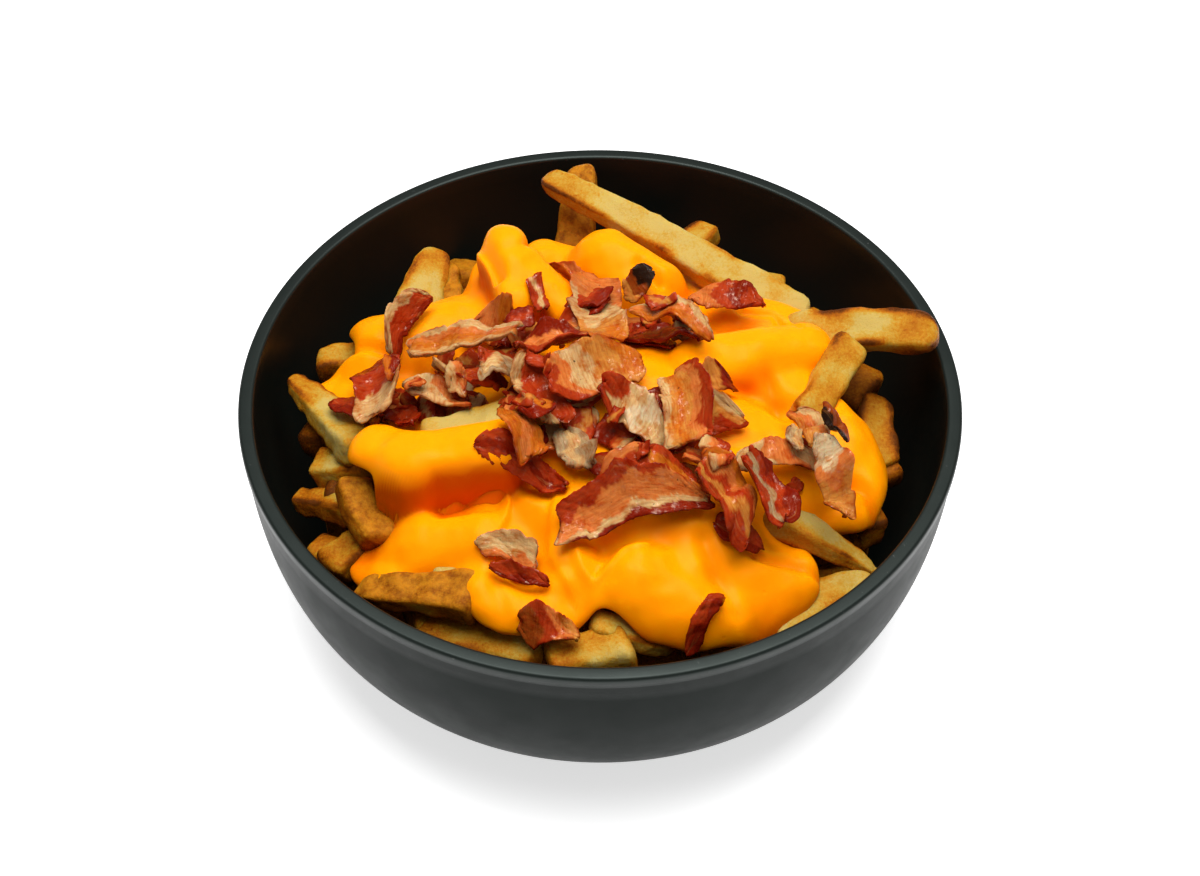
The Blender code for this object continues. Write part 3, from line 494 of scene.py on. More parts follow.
def fry_surface(fry, draw, rows, columns):
    """Points, brownness and skin of one fry.

    Its section is a superellipse of power 3 to 6 with slightly sunken sides. It is blunt over its
    rounded start and over the last two millimetres, its two ends slant, and it is carried along a
    bowed line with a small wave.
    """
    start, end, width, thick, roll, bow, first, last, tone, end_tone, skin, nose = fry
    start = np.array(start, float)
    end = np.array(end, float)
    length = np.linalg.norm(end - start)
    along = (end - start) / length
    side = np.cross(along, (0.0, 0.0, 1.0))
    side /= np.linalg.norm(side)
    upward = np.cross(side, along)
    turn = math.radians(roll)
    across = math.cos(turn) * side + math.sin(turn) * upward
    over = math.cos(turn) * upward - math.sin(turn) * side

    s = (0.5 - 0.5 * np.cos(math.pi * (np.arange(rows) + 0.5) / rows))[:, None]
    angle = 2.0 * math.pi * (np.arange(columns) + 0.5)[None, :] / columns
    power = draw.uniform(3.4, 5.8)
    reach = (np.abs(np.cos(angle)) ** power + np.abs(np.sin(angle)) ** power) ** (-1.0 / power)
    a = reach * np.cos(angle)
    b = reach * np.sin(angle)
    sink = draw.uniform(0.03, 0.09)
    a, b = a * (1.0 - sink * (1.0 - b * b)), b * (1.0 - sink * (1.0 - a * a))
    run = s * length
    left = (1.0 - s) * length
    share = (first + (last - first) * s) * (blunt_end(run, nose) * blunt_end(left, FRY_TAIL))
    share = share * (1.0 + 0.05 * np.sin(draw.uniform(4.0, 9.0) * s + draw.uniform(0.0, 6.0)))
    lean = draw.uniform(-0.45, 0.45, 2)
    slant = lean[0] * np.exp(-run / 4.0) + lean[1] * np.exp(-left / 4.0)
    sway = 0.5 * np.sin(draw.uniform(3.0, 6.0) * s + draw.uniform(0.0, 6.0))

    wide = 0.5 * width * share * a
    high = 0.5 * thick * share * b
    line = start + (end - start) * s[..., None] + upward * (bow * 4.0 * s * (1.0 - s))[..., None]
    points = (line + across * (wide + sway)[..., None] + over * high[..., None]
              + along * (slant * wide)[..., None])
    outward = across * a[..., None] + over * b[..., None]
    uneven = 0.16 * ripple(points, 7.0, draw) + 0.06 * ripple(points, 2.5, draw)
    points = points + outward * (uneven * np.minimum(1.0, np.minimum(run, left) / 1.5))[..., None]

    edge = (1.42 * np.abs(a) * np.abs(b)) ** 5.0 + 0.0 * s
    tips = end_tone * np.exp(-run / 7.0) + 0.35 * np.exp(-left / 2.0)
    patches = 0.10 * ripple(points, 12.0, draw)
    scorch = np.clip(0.5 + 0.6 * ripple(points, 16.0, draw), 0.0, 1.2)
    # Painted shade, with some real browning: the sides and underside of a fry are coloured browner than
    # its top.
    sides = 0.13 * np.clip(0.7 - b, 0.0, 1.0)
    brown = tone + 0.50 * edge * scorch + 0.5 * tips + patches + sides
    face = (b, b, -a, np.maximum(b, -a))[skin]
    skinned = np.clip((face - 0.55) * 6.0, 0.0, 1.0) * (skin > 0) + 0.0 * s
    poles = np.stack((points[0].mean(axis=0), points[-1].mean(axis=0)))
    ends = np.array([tone + end_tone * 0.5, tone + 0.2])
    return (np.concatenate((points.reshape(-1, 3), poles)),
            np.clip(np.concatenate((brown.ravel(), ends)), 0.0, 1.0),
            np.concatenate((skinned.ravel(), (0.0, 0.0))))


def shift_into_bowl(points):
    """How far a fry has to move towards the middle, or up, to stay clear of the bowl."""
    moved = points.copy()
    for _ in range(60):
        reach = np.hypot(moved[:, 0], moved[:, 1])
        low = moved[:, 2] < BOWL_HEIGHT + GAP
        room = np.where(low, inner_radius(moved[:, 2] - GAP) - 2.0 * GAP, BOWL_RADIUS - 1.0)
        excess = reach - room
        worst = int(np.argmax(excess))
        if excess[worst] <= 0.0:
            break
        if low[worst] and moved[worst, 2] > BOWL_HEIGHT - 6.0:
            moved[:, 2] += 0.5
        else:
            moved[:, :2] -= moved[worst, :2] / reach[worst] * min(excess[worst] + 0.1, 1.5)
    return moved[0] - points[0]


def core_surface():
    """The core: a lumpy dome turned over the inside of the bowl, a little under the fries."""
    low = FLOOR + CORE_CLEARANCE
    shoulder = core_height(CORE_RADIUS, 0.0) - CORE_SINK
    side = low + (shoulder - low) * np.linspace(0.0, 1.0, 16) ** 2
    reach = np.minimum(inner_radius(side - CORE_CLEARANCE) - CORE_CLEARANCE, CORE_RADIUS)
    under = np.linspace(3.0, reach[0] - 3.0, 5)
    over = np.linspace(CORE_RADIUS - 1.0, 2.0, 60)
    reach = np.concatenate((under, reach, over))
    height = np.concatenate((np.full(len(under), low), side, core_height(over, 0.0) - CORE_SINK))
    points = turned(reach, height, CORE_COLUMNS)
    lumps = 1.2 * ripple(points * (1.0, 1.0, 0.4), 9.0, np.random.default_rng(SEED + 50))
    points[:, 2] += lumps * (points[:, 2] > shoulder - 1.0)
    poles = [(0.0, 0.0, low), (0.0, 0.0, CORE_TOP - CORE_SINK)]
    return np.concatenate((points, poles)), len(reach), CORE_COLUMNS


def food_light(shader, tint, share, radius, reach):
    """Light on and in the food: the tint of its gloss, and the share of light that goes in under
    the surface, with its radius for each colour and its reach in millimetres."""
    shader.inputs["Specular Tint"].default_value = (*tint, 1.0)
    shader.inputs["Subsurface Weight"].default_value = share
    shader.inputs["Subsurface Radius"].default_value = radius
    shader.inputs["Subsurface Scale"].default_value = reach * 0.001


def cells(tree, place, size, feature="F1"):
    """Distance to the nearest of many scattered points, about a size in millimetres apart."""
    node = tree.nodes.new("ShaderNodeTexVoronoi")
    node.feature = feature
    node.inputs["Scale"].default_value = 1000.0 / size
    tree.links.new(place, node.inputs["Vector"])
    return node.outputs["Distance"]


def fried_potato():
    """Fried potato: pale yellow flesh that turns golden and then brown with the mask, small
    blisters, an oily sheen, and rough skin where the skin mask says."""
    material, tree, shader, place = new_finish("fried_potato")
    mottle = noise(tree, place, 4.0, 4.0, 0.6)
    fine = noise(tree, place, 0.7, 4.0, 0.7)
    crust = noise(tree, place, 2.2, 5.0, 0.7)
    brown = math_of(tree, "ADD", value_of(tree, "brown"), remap(tree, mottle, 0.3, 0.7, -0.10, 0.10))
    brown = math_of(tree, "ADD", brown, remap(tree, fine, 0.3, 0.7, -0.12, 0.12))
    brown = math_of(tree, "ADD", brown, remap(tree, crust, 0.58, 0.72, 0.0, 0.22))
    ramp = tree.nodes.new("ShaderNodeValToRGB")
    stops = ramp.color_ramp.elements
    for spot, _ in POTATO[len(stops):]:
        stops.new(spot)
    for stop, (spot, colour) in zip(stops, POTATO):
        stop.position = spot
        stop.color = (*colour, 1.0)
    tree.links.new(brown, ramp.inputs["Fac"])
    specks = remap(tree, noise(tree, place, 3.2, 6.0, 0.75), 0.42, 0.64, 0.0, 1.0)
    skin_colour = blend_of(tree, specks, SKIN, SKIN_SPECKS)
    tree.links.new(blend_of(tree, value_of(tree, "skin"), ramp.outputs["Color"], skin_colour),
                   shader.inputs["Base Color"])
    tree.links.new(remap(tree, fine, 0.3, 0.7, 0.40, 0.58), shader.inputs["Roughness"])
    shader.inputs["Specular IOR Level"].default_value = 0.09
    food_light(shader, (1.0, 0.86, 0.55), 0.30, (1.0, 0.45, 0.12), 3.0)
    blisters = math_of(tree, "MULTIPLY", cells(tree, place, 1.7, "SMOOTH_F1"), 0.5)
    height = math_of(tree, "SUBTRACT", fine, blisters)
    height = math_of(tree, "ADD", height, math_of(tree, "MULTIPLY", crust, 0.8))
    relief_of(tree, shader, height, 0.6, 0.45)
    return material


def make_fries():
    """Join all the fries and the core in one mesh, each a closed surface of its own. The fries
    get a painted shade low in the bowl: they are coloured a little browner the lower they lie."""
    core, rows, columns = core_surface()
    points = [core]
    faces = [grid_quads(rows, columns), fans(rows, columns)]
    # The core in its painted dark shade.
    brown = [np.full(len(core), CORE_SHADE_BROWN)]
    skin = [np.zeros(len(core))]
    count = len(core)
    for index, fry in enumerate((*FRIES, *ring_fries())):
        rows, columns = FRY_GRID if index < len(FRIES) else RING_GRID
        surface, tone, peel = fry_surface(fry, np.random.default_rng(SEED + index), rows, columns)
        surface = surface + shift_into_bowl(surface)
        points.append(surface)
        # Painted shade: the lower a fry lies, the browner it is coloured.
        depth = np.clip((FRY_SHADE_BELOW - surface[:, 2]) / FRY_SHADE_DEPTH, 0.0, 1.0)
        brown.append(tone + FRY_SHADE_MOST * depth)
        skin.append(peel)
        faces += [grid_quads(rows, columns, count), fans(rows, columns, count)]
        count += len(surface)
    fries = make_piece("fries_heap", np.concatenate(points), faces, fried_potato(),
                       (("brown", np.concatenate(brown)), ("skin", np.concatenate(skin))))
    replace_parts(fries, "fries")


make_fries()


# The cheese sauce: thick, warm and glossy, poured over the heap so that it coats the fries
# under it, folds on itself and runs down between them. It is one blanket on a grid of bearing
# and reach: a top, a blunt rounded edge and an underside.
SAUCE_MIDDLE = (0.0, -10.0)
SAUCE_TOP = 71.0
SAUCE_DROP = 21.0
SAUCE_THICK = 9.0
SAUCE_BLEND = 1.2
SAUCE_HALO = 5.0
SAUCE_LEAN = 0.45
SAUCE_SHOULDER = 0.93
SAUCE_HANG = 0.9
SAUCE_CLEARANCE = 1.4
SAUCE_EASE = 0.6
SAUCE_ROWS = 140
SAUCE_COLUMNS = 560
# Painted shade low in the bowl: below this height the sauce is coloured a deeper orange, fully at this
# depth under it.
SAUCE_SHADE_BELOW = 61.5
SAUCE_SHADE_DEPTH = 10.0
TINY = 1e-9

CHEESE = (1.0, 0.290, 0.0)
# The deeper orange painted where shade falls on the sauce.
SHADED_CHEESE = (0.66, 0.090, 0.0)

# Bearing in degrees round a point in front of the middle, how far the edge reaches, and how
# deep it hangs
SAUCE_EDGE = (
    (0, 69, 7), (7, 55, 5), (18, 63, 5), (42, 62, 5), (62, 61, 5), (80, 72, 6), (94, 66, 6),
    (116, 67, 6), (130, 57, 6), (140, 66, 6), (152, 74, 6), (160, 67, 6), (168, 76, 7),
    (177, 65, 6), (187, 58, 5), (197, 61, 7), (205, 58, 6), (213, 71, 5), (220, 71, 6),
    (231, 60, 5), (247, 64, 7), (262, 61, 7), (271, 56, 5), (282, 63, 8), (292, 67, 11),
    (306, 69, 11), (318, 69, 8), (329, 60, 6), (338, 70, 9), (348, 72, 9),
)

# Coated fries and folds: start, end, half width, the fall at that half width, and the power
# that the fall grows with
RIDGES = (
    ((-56, 15, 70), (-36, 20, 73), 8.0, 3.2, 2),
    ((-68, 4, 60), (-42, -9, 70), 8.0, 3.5, 2),
    ((-30, 37, 72), (-26, 20, 74), 6.0, 3.5, 2),
    ((-25, 31, 88), (-21, 17, 83), 4.2, 3.2, 3),
    ((-20, 26, 86), (-9, 17, 80), 4.6, 3.0, 3),
    ((-15, 46, 70), (-3, 41, 71), 6.0, 3.0, 2),
    ((0, 40, 79), (13, 25, 75), 6.0, 4.0, 2),
    ((2, 40, 80), (15, 32, 77), 5.5, 4.5, 2),
    ((36, 22, 73), (50, 20, 71), 7.0, 3.0, 2),
    ((24, -2, 81), (50, 9, 76), 6.5, 3.0, 3),
    ((39, 2, 77), (54, -5, 70), 7.0, 3.5, 2),
    ((26, -15, 77), (46, -23, 71), 8.0, 3.0, 2),
    ((33, -31, 73), (48, -25, 70), 7.0, 3.0, 2),
    ((58, -14, 68), (64, -27, 63), 7.0, 3.0, 2),
    ((60, -34, 61), (56, -41, 59), 6.5, 3.0, 2),
    ((-10, -11, 78), (14, -7, 78), 10.0, 2.5, 2),
    ((0, -35, 74), (23, -42, 72), 9.0, 3.0, 2),
    ((-52, -27, 75), (-43, -32, 78), 6.5, 3.0, 4),
    ((-45, -31, 77), (-24, -31, 82), 6.0, 3.0, 4),
    ((-40, -46, 66), (-28, -47, 68), 7.0, 3.5, 2),
    ((-42, -41, 65), (-48, -52, 59), 6.0, 3.0, 2),
    ((-16, -42, 71), (-28, -58, 63), 6.0, 3.0, 2),
    ((-9, -45, 71), (-9, -58, 65), 6.0, 3.0, 2),
    ((-60, -50, 54), (-46, -56, 58), 6.0, 3.5, 2),
    ((-26, -62, 65), (-9, -69, 62), 7.5, 4.5, 2),
    ((-23, -65, 62), (-19, -71, 58), 6.0, 4.0, 2),
    ((-4, -54, 68), (1, -65, 62), 4.5, 3.0, 2),
    ((1, -65, 62), (14, -57, 69), 4.5, 3.0, 2),
    ((10, -58, 70), (25, -63, 65), 8.0, 3.5, 2),
    ((23, -52, 69), (47, -51, 60), 8.0, 3.5, 2),
    ((37, -60, 58), (47, -57, 55), 7.0, 3.5, 2),
    ((9, -67, 57), (33, -67, 50), 7.0, 3.5, 2),
)

# Creases, lips where one sheet of sauce lies over another, and poured ribbons: the line that
# each follows, its half width on the left and on the right of the line, and its rise
FOLDS = (
    (((-29, 33), (-27, 27), (-25, 21)), 1.3, 1.3, -3.5),
    (((36, 20), (44, 20), (50, 12)), 0.9, 0.9, -1.2),
    (((27, -2), (36, -5), (46, -1)), 4.0, 4.0, -1.5),
    (((41, -3), (43, -7), (44, -13)), 2.0, 2.0, -1.8),
    (((60, -10), (64, -18)), 4.0, 4.0, 1.5),
    (((58, -27), (64, -30), (69, -37)), 1.8, 1.8, -2.8),
    (((-22, -38), (-22, -45), (-25, -53)), 0.9, 9.0, 1.8),
    (((-18, -45), (-13, -50)), 3.5, 3.5, -2.0),
    (((-10, -41), (-11, -48), (-11, -55), (-8, -60), (-4, -66)), 8.0, 1.0, 1.6),
    (((-5, -55), (-4, -59), (-1, -62), (2, -59), (6, -55), (11, -54)), 1.1, 1.1, 1.1),
    (((-2, -57), (0, -57)), 1.3, 1.3, 0.6),
    (((8, -59), (12, -62)), 6.0, 4.0, 1.0),
    (((24, -52), (27, -59), (31, -66)), 2.5, 2.5, -2.2),
    (((36, -52), (44, -52), (52, -53)), 1.3, 1.3, -2.0),
    (((-55, -34), (-48, -38), (-40, -40), (-31, -38)), 1.6, 1.6, -1.6),
    (((-37, -40), (-32, -39)), 2.2, 2.2, -2.2),
    (((-24, -62), (-22, -68)), 2.0, 2.0, -1.2),
    (((-69, 13), (-61, 12), (-53, 9)), 1.3, 1.3, -2.4),
    (((10, 33), (14, 28)), 1.5, 1.5, -2.0),
)


def flow(values, at, where, ease):
    """Smooth curve through rows of values at the knots: cubic pieces whose slopes match, each
    the slope of the rows beside it times the ease."""
    slope = np.gradient(values, at, axis=0) * ease
    k = np.clip(np.searchsorted(at, where) - 1, 0, len(at) - 2)
    step = (at[k + 1] - at[k])[:, None]
    u = (where - at[k])[:, None] / step
    return ((2 * u ** 3 - 3 * u ** 2 + 1) * values[k] + (u ** 3 - 2 * u ** 2 + u) * step * slope[k]
            + (3 * u ** 2 - 2 * u ** 3) * values[k + 1] + (u ** 3 - u ** 2) * step * slope[k + 1])


def sauce_edge(bearing):
    """How far the edge reaches at each bearing and how deep it hangs: the table's rows, with two
    of them repeated past either end, joined by a smooth curve."""
    table = np.array(SAUCE_EDGE, float)
    once_round = (360.0, 0.0, 0.0)
    table = np.concatenate((table[-2:] - once_round, table, table[:2] + once_round))
    return flow(table[:, 1:], np.radians(table[:, 0]), bearing, SAUCE_EASE).T


def nearest(x, y, start, run):
    """Share of the way along a straight line at its spot nearest to each point, and how far off
    the point is in x and y: the point's projection on the line, kept between its two ends."""
    t = np.clip(((x - start[0]) * run[0] + (y - start[1]) * run[1]) / run.dot(run), 0.0, 1.0)
    return t, x - start[0] - t * run[0], y - start[1] - t * run[1]


def fold_rise(x, y):
    """Rise of all the folds: a bell across each line, with a width of its own on either side."""
    total = 0.0 * x
    for line, left, right, rise in FOLDS:
        away = 1000.0 + total
        side = 0.0 * x
        for start, end in zip(line, line[1:]):
            run = np.subtract(end, start)
            _, off_x, off_y = nearest(x, y, start, run)
            reach = np.hypot(off_x, off_y)
            cross = (run[0] * off_y - run[1] * off_x) / (np.linalg.norm(run) * (reach + TINY))
            side = np.where(reach < away, cross, side)
            away = np.minimum(away, reach)
        width = 0.5 * (left + right) + 0.5 * (left - right) * side
        total = total + rise * np.exp(-(away / width) ** 2)
    return total


def sauce_body(x, y):
    """Top of the sauce: a soft maximum of a dome and one rounded ridge for each coated fry."""
    total = np.exp((SAUCE_TOP - SAUCE_DROP * (x * x + y * y) / DOME_REACH ** 2) / SAUCE_BLEND)
    for start, end, half, fall, power in RIDGES:
        t, off_x, off_y = nearest(x, y, start, np.subtract(end[:2], start[:2]))
        ridge = start[2] + (end[2] - start[2]) * t - fall * (np.hypot(off_x, off_y) / half) ** power
        total = total + np.exp(ridge / SAUCE_BLEND)
    return SAUCE_BLEND * np.log(total)


def sauce_lie(x, y):
    """How far each point stands above its surroundings, and the slope of the sauce in x and y.

    The height is taken on a square grid, the surroundings are its average under a bell, and
    the values between the grid's points follow straight lines.
    """
    axis = np.arange(-90.0, 91.0, 1.0)
    ground = sauce_body(*np.meshgrid(axis, axis))
    bell = np.exp(-0.5 * ((axis[:, None] - axis) / SAUCE_HALO) ** 2)
    bell /= bell.sum(axis=1, keepdims=True)
    slope_y, slope_x = np.gradient(ground)
    i = np.clip(np.floor(x - axis[0]).astype(int), 0, len(axis) - 2)
    j = np.clip(np.floor(y - axis[0]).astype(int), 0, len(axis) - 2)
    s, t = x - axis[i], y - axis[j]
    return [(field[j, i] * (1 - s) + field[j, i + 1] * s) * (1 - t)
            + (field[j + 1, i] * (1 - s) + field[j + 1, i + 1] * s) * t
            for field in (ground - bell @ ground @ bell.T, slope_x, slope_y)]


def sauce_surface():
    """Rows of points from the middle of the top, over the edge, to the middle underneath, and
    a painted shade for each: how deep it lies in a dip or crease, on a steep or front-facing
    side, under the edge or low in the bowl.

    High points of a steep side move out over it and low ones in under it, so that it bulges.
    """
    bearing = 2.0 * math.pi * np.arange(SAUCE_COLUMNS) / SAUCE_COLUMNS
    full, deep = sauce_edge(bearing)
    top = np.linspace(0.012, SAUCE_SHOULDER, SAUCE_ROWS)
    turn = np.linspace(0.0, math.pi, 17)[1:]
    nose = SAUCE_SHOULDER + (1.0 - SAUCE_SHOULDER) * np.sin(turn)
    fall = 0.5 - 0.5 * np.cos(turn)
    under = np.linspace(0.90, 0.10, 9)
    share = np.concatenate((top, nose, under))
    x = SAUCE_MIDDLE[0] + share[:, None] * full * np.cos(bearing)
    y = SAUCE_MIDDLE[1] + share[:, None] * full * np.sin(bearing)
    fold = fold_rise(x, y)
    z = sauce_body(x, y) + fold
    proud, slope_x, slope_y = sauce_lie(x, y)
    steep = np.hypot(slope_x, slope_y)
    lean = SAUCE_LEAN * proud / (1.0 + steep)
    tucked = np.concatenate((np.zeros(len(top)), fall, np.ones(len(under))))[:, None]
    # Painted shade: deeper where the sauce sinks below its surroundings or into a crease, on steep and
    # front-facing sides, under the edge and low in the bowl.
    low = np.clip((SAUCE_SHADE_BELOW - z) / SAUCE_SHADE_DEPTH, 0.0, 1.0)
    hollow = (-0.12 * proud + 0.26 * (steep - 1.0) + 0.45 * np.clip(slope_y - 1.0, 0.0, 1.5)
              - 0.16 * fold + 0.6 * tucked + 0.8 * low)
    hollow = np.clip(hollow, 0.0, 1.0)
    z[len(top):len(top) + len(nose)] -= fall[:, None] * deep * SAUCE_HANG
    thick = SAUCE_THICK + (deep - SAUCE_THICK) * under[:, None] ** 6
    ground = core_height(x, y)[-len(under):] + SAUCE_CLEARANCE
    z[-len(under):] = np.maximum(z[-len(under):] - thick, ground)
    draw = np.random.default_rng(SEED + 60)
    points = np.stack((x - lean * slope_x, y - lean * slope_y, z), axis=2)
    points[:, :, 2] += 0.22 * ripple(points, 14.0, draw) + 0.10 * ripple(points, 6.0, draw)
    return points, hollow


def cheese_finish():
    """Cheese sauce: bright orange-yellow with light that travels a little way in, a painted shade
    of deeper orange in its dips, creases and steep sides and low down, a soft gloss, and a few
    tiny bubbles."""
    material, tree, shader, place = new_finish("cheese_sauce_finish")
    # Painted shade: the mask, with a little noise, mixes the sauce's colour towards a deeper orange.
    deep = math_of(tree, "ADD", value_of(tree, "hollow"),
                   remap(tree, noise(tree, place, 16.0, 3.0), 0.35, 0.65, -0.06, 0.06))
    tree.links.new(blend_of(tree, deep, CHEESE, SHADED_CHEESE), shader.inputs["Base Color"])
    tree.links.new(remap(tree, noise(tree, place, 7.0), 0.3, 0.7, 0.34, 0.44),
                   shader.inputs["Roughness"])
    shader.inputs["Specular IOR Level"].default_value = 0.09
    food_light(shader, (1.0, 0.85, 0.45), 0.35, (1.0, 0.45, 0.02), 3.0)
    pits = remap(tree, cells(tree, place, 9.0), 0.03, 0.07, 0.0, 1.0)
    height = math_of(tree, "ADD", pits, math_of(tree, "MULTIPLY", noise(tree, place, 2.5, 2.0), 0.35))
    relief_of(tree, shader, height, 0.25, 0.3)
    return material


def make_sauce():
    """Close the sauce's rows round, and close its two middles."""
    grid, hollow = sauce_surface()
    rows, columns = grid.shape[:2]
    points = np.concatenate((grid.reshape(-1, 3), [grid[0].mean(axis=0), grid[-1].mean(axis=0)]))
    faces = (grid_quads(rows, columns)[:, ::-1], fans(rows, columns)[:, ::-1])
    # The painted shade goes on the points as a mask.
    masks = (("hollow", np.concatenate((hollow.ravel(), (0.0, 1.0)))),)
    sauce = make_piece("poured_cheese", points, faces, cheese_finish(), masks)
    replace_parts(sauce, "cheese_sauce")


make_sauce()


# The bacon: crisp bits torn from rashers, dark red lean and cream fat in stripes, with curled
# edges, and the scraps and crumbs that fall off them. Each is a thin slab on a grid of length
# and width, crimped along its length, that lies on what is under it.
BACON_THICK = 1.3
BACON_TAPER = 0.35
BACON_CRIMP = 0.55
BACON_EASE = 0.8
BACON_ROWS = (36, 96)
BACON_ROWS_PER_MM = 3.4
BACON_COLUMNS = 30
PLAN_ALONG = 5
PLAN_ACROSS = 3
PLAN_MATCH = 0.05

# Start (x, y), end (x, y), width, tilt in degrees, sideways bend, crimp, whether the stripes
# follow each other along it, A, or across its width, W, a letter for each stripe, how square the
# start and the end are, from 0 for a point to 9 for a clean cut, and how much the stripes slant
BACON = (
    ((-28, -35), (-8, -40), 6, 10, 1, 0.5, "W", "rdr", (5, 3), 2),
    ((-2, -34), (16, -36), 8, 0, -1, 0.5, "W", "dbd", (5, 5), -2),
    ((27, -49), (38, -52), 6, 20, 0, 0.4, "W", "dr", (3, 2), 1),
    ((-12, -13), (3, -3), 8, 15, 1, 0.5, "W", "rrp", (5, 5), 3),
    ((-66, -6), (-58, -13), 7, 10, 0, 0.4, "W", "dr", (3, 3), -1),
    ((-50, -12), (-46, -21), 7, 20, 1, 0.4, "W", "dr", (3, 4), 2),
    ((-27, -54), (-14, -56), 6, 15, 1, 0.4, "W", "pcc", (3, 6), 1),
    ((-24, -59), (-11, -62), 4, 30, 0, 0.4, "W", "dr", (2, 2), -2),
    ((-17, -70), (-5, -72), 6, 5, 0, 0.4, "A", "brpt", (2, 9), 2),
    ((20, -75), (28, -66), 3.5, 35, 0, 0.3, "W", "dr", (2, 1), 1),
    ((-33, 12), (-22, 8), 8, 25, 2, 0.5, "A", "ppod", (4, 9), -2),
    ((-23, 9), (-9, 2), 7, 10, -1, 0.5, "W", "prt", (4, 3), 2),
    ((7, 8), (25, 2), 9, 5, 1, 0.8, "W", "drbd", (3, 2), -1),
    ((17, 22), (22, 6), 6, 15, 0, 0.4, "W", "cdr", (4, 3), 2),
    ((22, 20), (40, 15), 7, 10, 2, 0.5, "A", "pprdr", (5, 2), 1),
    ((-48, -11), (-32, -16), 9, 5, 1, 0.4, "A", "gccpr", (3, 7), 2),
    ((-38, -6), (-24, -14), 9, 10, -1, 0.4, "A", "crrrd", (9, 5), 3),
    ((-29, -16), (-17, -8), 9, 0, 1, 0.5, "W", "gcr", (4, 2), -3),
    ((-20, -7), (-4, -2), 9, 10, 2, 0.5, "W", "rpd", (4, 3), 2),
    ((-8, -25), (-4, -38), 8, 15, 0, 0.5, "W", "gcg", (3, 9), 1),
    ((0, -43), (11, -39), 10, 10, 0, 0.3, "W", "rrrp", (3, 3), -1),
    ((9, -39), (22, -41), 9, 5, 1, 0.5, "W", "ror", (3, 9), 2),
    ((20, -35), (32, -39), 8, 10, 1, 0.4, "W", "prp", (5, 4), -2),
    ((32, -37), (51, -31), 6, 5, 2, 0.5, "A", "ccppc", (9, 3), 2),
    ((47, -19), (50, -32), 8, 45, 2, 0.5, "W", "tpc", (3, 3), -3),
    ((51, -32), (56, -45), 9, 25, 1, 0.5, "A", "wwptt", (3, 5), 1),
    ((52, -27), (57, -33), 5, 30, 0, 0.3, "W", "kb", (4, 2), 2),
    ((-14, 33), (-4, 27), 7, 20, 1, 0.4, "W", "orp", (3, 4), -2),
    ((-22, -26), (-16, -38), 11, 0, 1, 0.4, "W", "opo", (5, 9), 2),
    ((-18, -11), (-10, -26), 10, 5, -2, 0.4, "W", "crrr", (2, 5), -1),
    ((-47, 4), (-21, -3), 10, 10, 2, 0.6, "W", "ctopc", (7, 3), 3),
    ((-58, 1), (-54, -19), 12, 15, 1, 0.4, "A", "drrcc", (7, 9), 2),
    ((-53, 5), (-43, 21), 9, 55, 2, 0.4, "W", "drrc", (6, 0), -2),
    ((-1, 29), (3, -1), 13, 10, -2, 0.5, "A", "pppccto", (3, 5), -1),
    ((6, 18), (13, 26), 6, 30, 0, 0.4, "A", "tbkk", (5, 2), 2),
    ((8, 7), (26, -3), 6, 15, 2, 0.4, "W", "opc", (4, 2), -2),
    ((-12, -20), (9, -9), 12, 5, 2, 0.4, "A", "rpcctto", (5, 9), 3),
    ((1, -19), (15, -28), 9, 10, 1, 0.4, "A", "rcwc", (3, 4), -3),
    ((24, -26), (34, -21), 8, 30, 2, 0.5, "W", "rtc", (3, 2), 2),
    ((23, -15), (32, -10), 6, 30, 1, 0.4, "A", "ttd", (3, 2), -1),
    ((17, -10), (21, -32), 12, 15, 1, 0.4, "W", "ctotpr", (3, 9), 2),
    ((-10, -52), (25, -46), 10, 10, 2, 0.5, "W", "dcpppr", (9, 2), -5),
    ((23, -41), (34, -51), 12, 5, 1, 0.5, "W", "rtrpo", (4, 9), -2),
    ((34, -38), (42, -51), 11, 10, 1, 0.4, "W", "rgrd", (4, 3), 1),
)

SCRAP_CRIMP = 0.1
SCRAP_DROP = 3.0
SCRAP_GRID = (24, 14)

# Small pieces: the middle of a patch, its reach in x and y, and how many lie under the others
# there and how many on top
SCRAPS = (
    ((-44, -10), (13, 4), 14, 3), ((-30, 3), (12, 4), 10, 1), ((16, 10), (9, 7), 9, 2),
    ((-12, -21), (9, 7), 14, 3), ((12, -20), (10, 8), 14, 1), ((18, -37), (13, 4), 10, 2),
    ((48, -32), (3, 5), 2, 1), ((-18, -56), (4, 1), 1, 0), ((-8, 12), (8, 5), 5, 0),
)

# Stripes of the scraps, drawn at random
SCRAP_STRIPES = ("rd", "drd", "rp", "prp", "pc", "dr", "rr", "rcr", "dbd", "rpc", "od", "rtr", "cg")

# Colours of the stripes: dark and bright lean, pink, brown, orange and tan where the fat has
# fried, cream, grey and white fat, and charred
STRIPES = {"d": (0.21, 0.014, 0.003), "r": (0.36, 0.038, 0.007), "p": (0.56, 0.170, 0.036),
           "b": (0.25, 0.050, 0.006), "o": (0.49, 0.135, 0.010), "t": (0.51, 0.205, 0.034),
           "c": (0.54, 0.36, 0.150), "g": (0.38, 0.28, 0.145), "w": (0.60, 0.49, 0.29),
           "k": (0.020, 0.010, 0.006)}

# Fat that has fried in the lean, tints of a fried patch and of a crisp edge, and dark specks
FRIED_FAT = (0.58, 0.26, 0.085)
FRIED = (0.66, 0.28, 0.09)
CRISPED = (0.50, 0.17, 0.05)
PEPPER = (0.03, 0.012, 0.006)


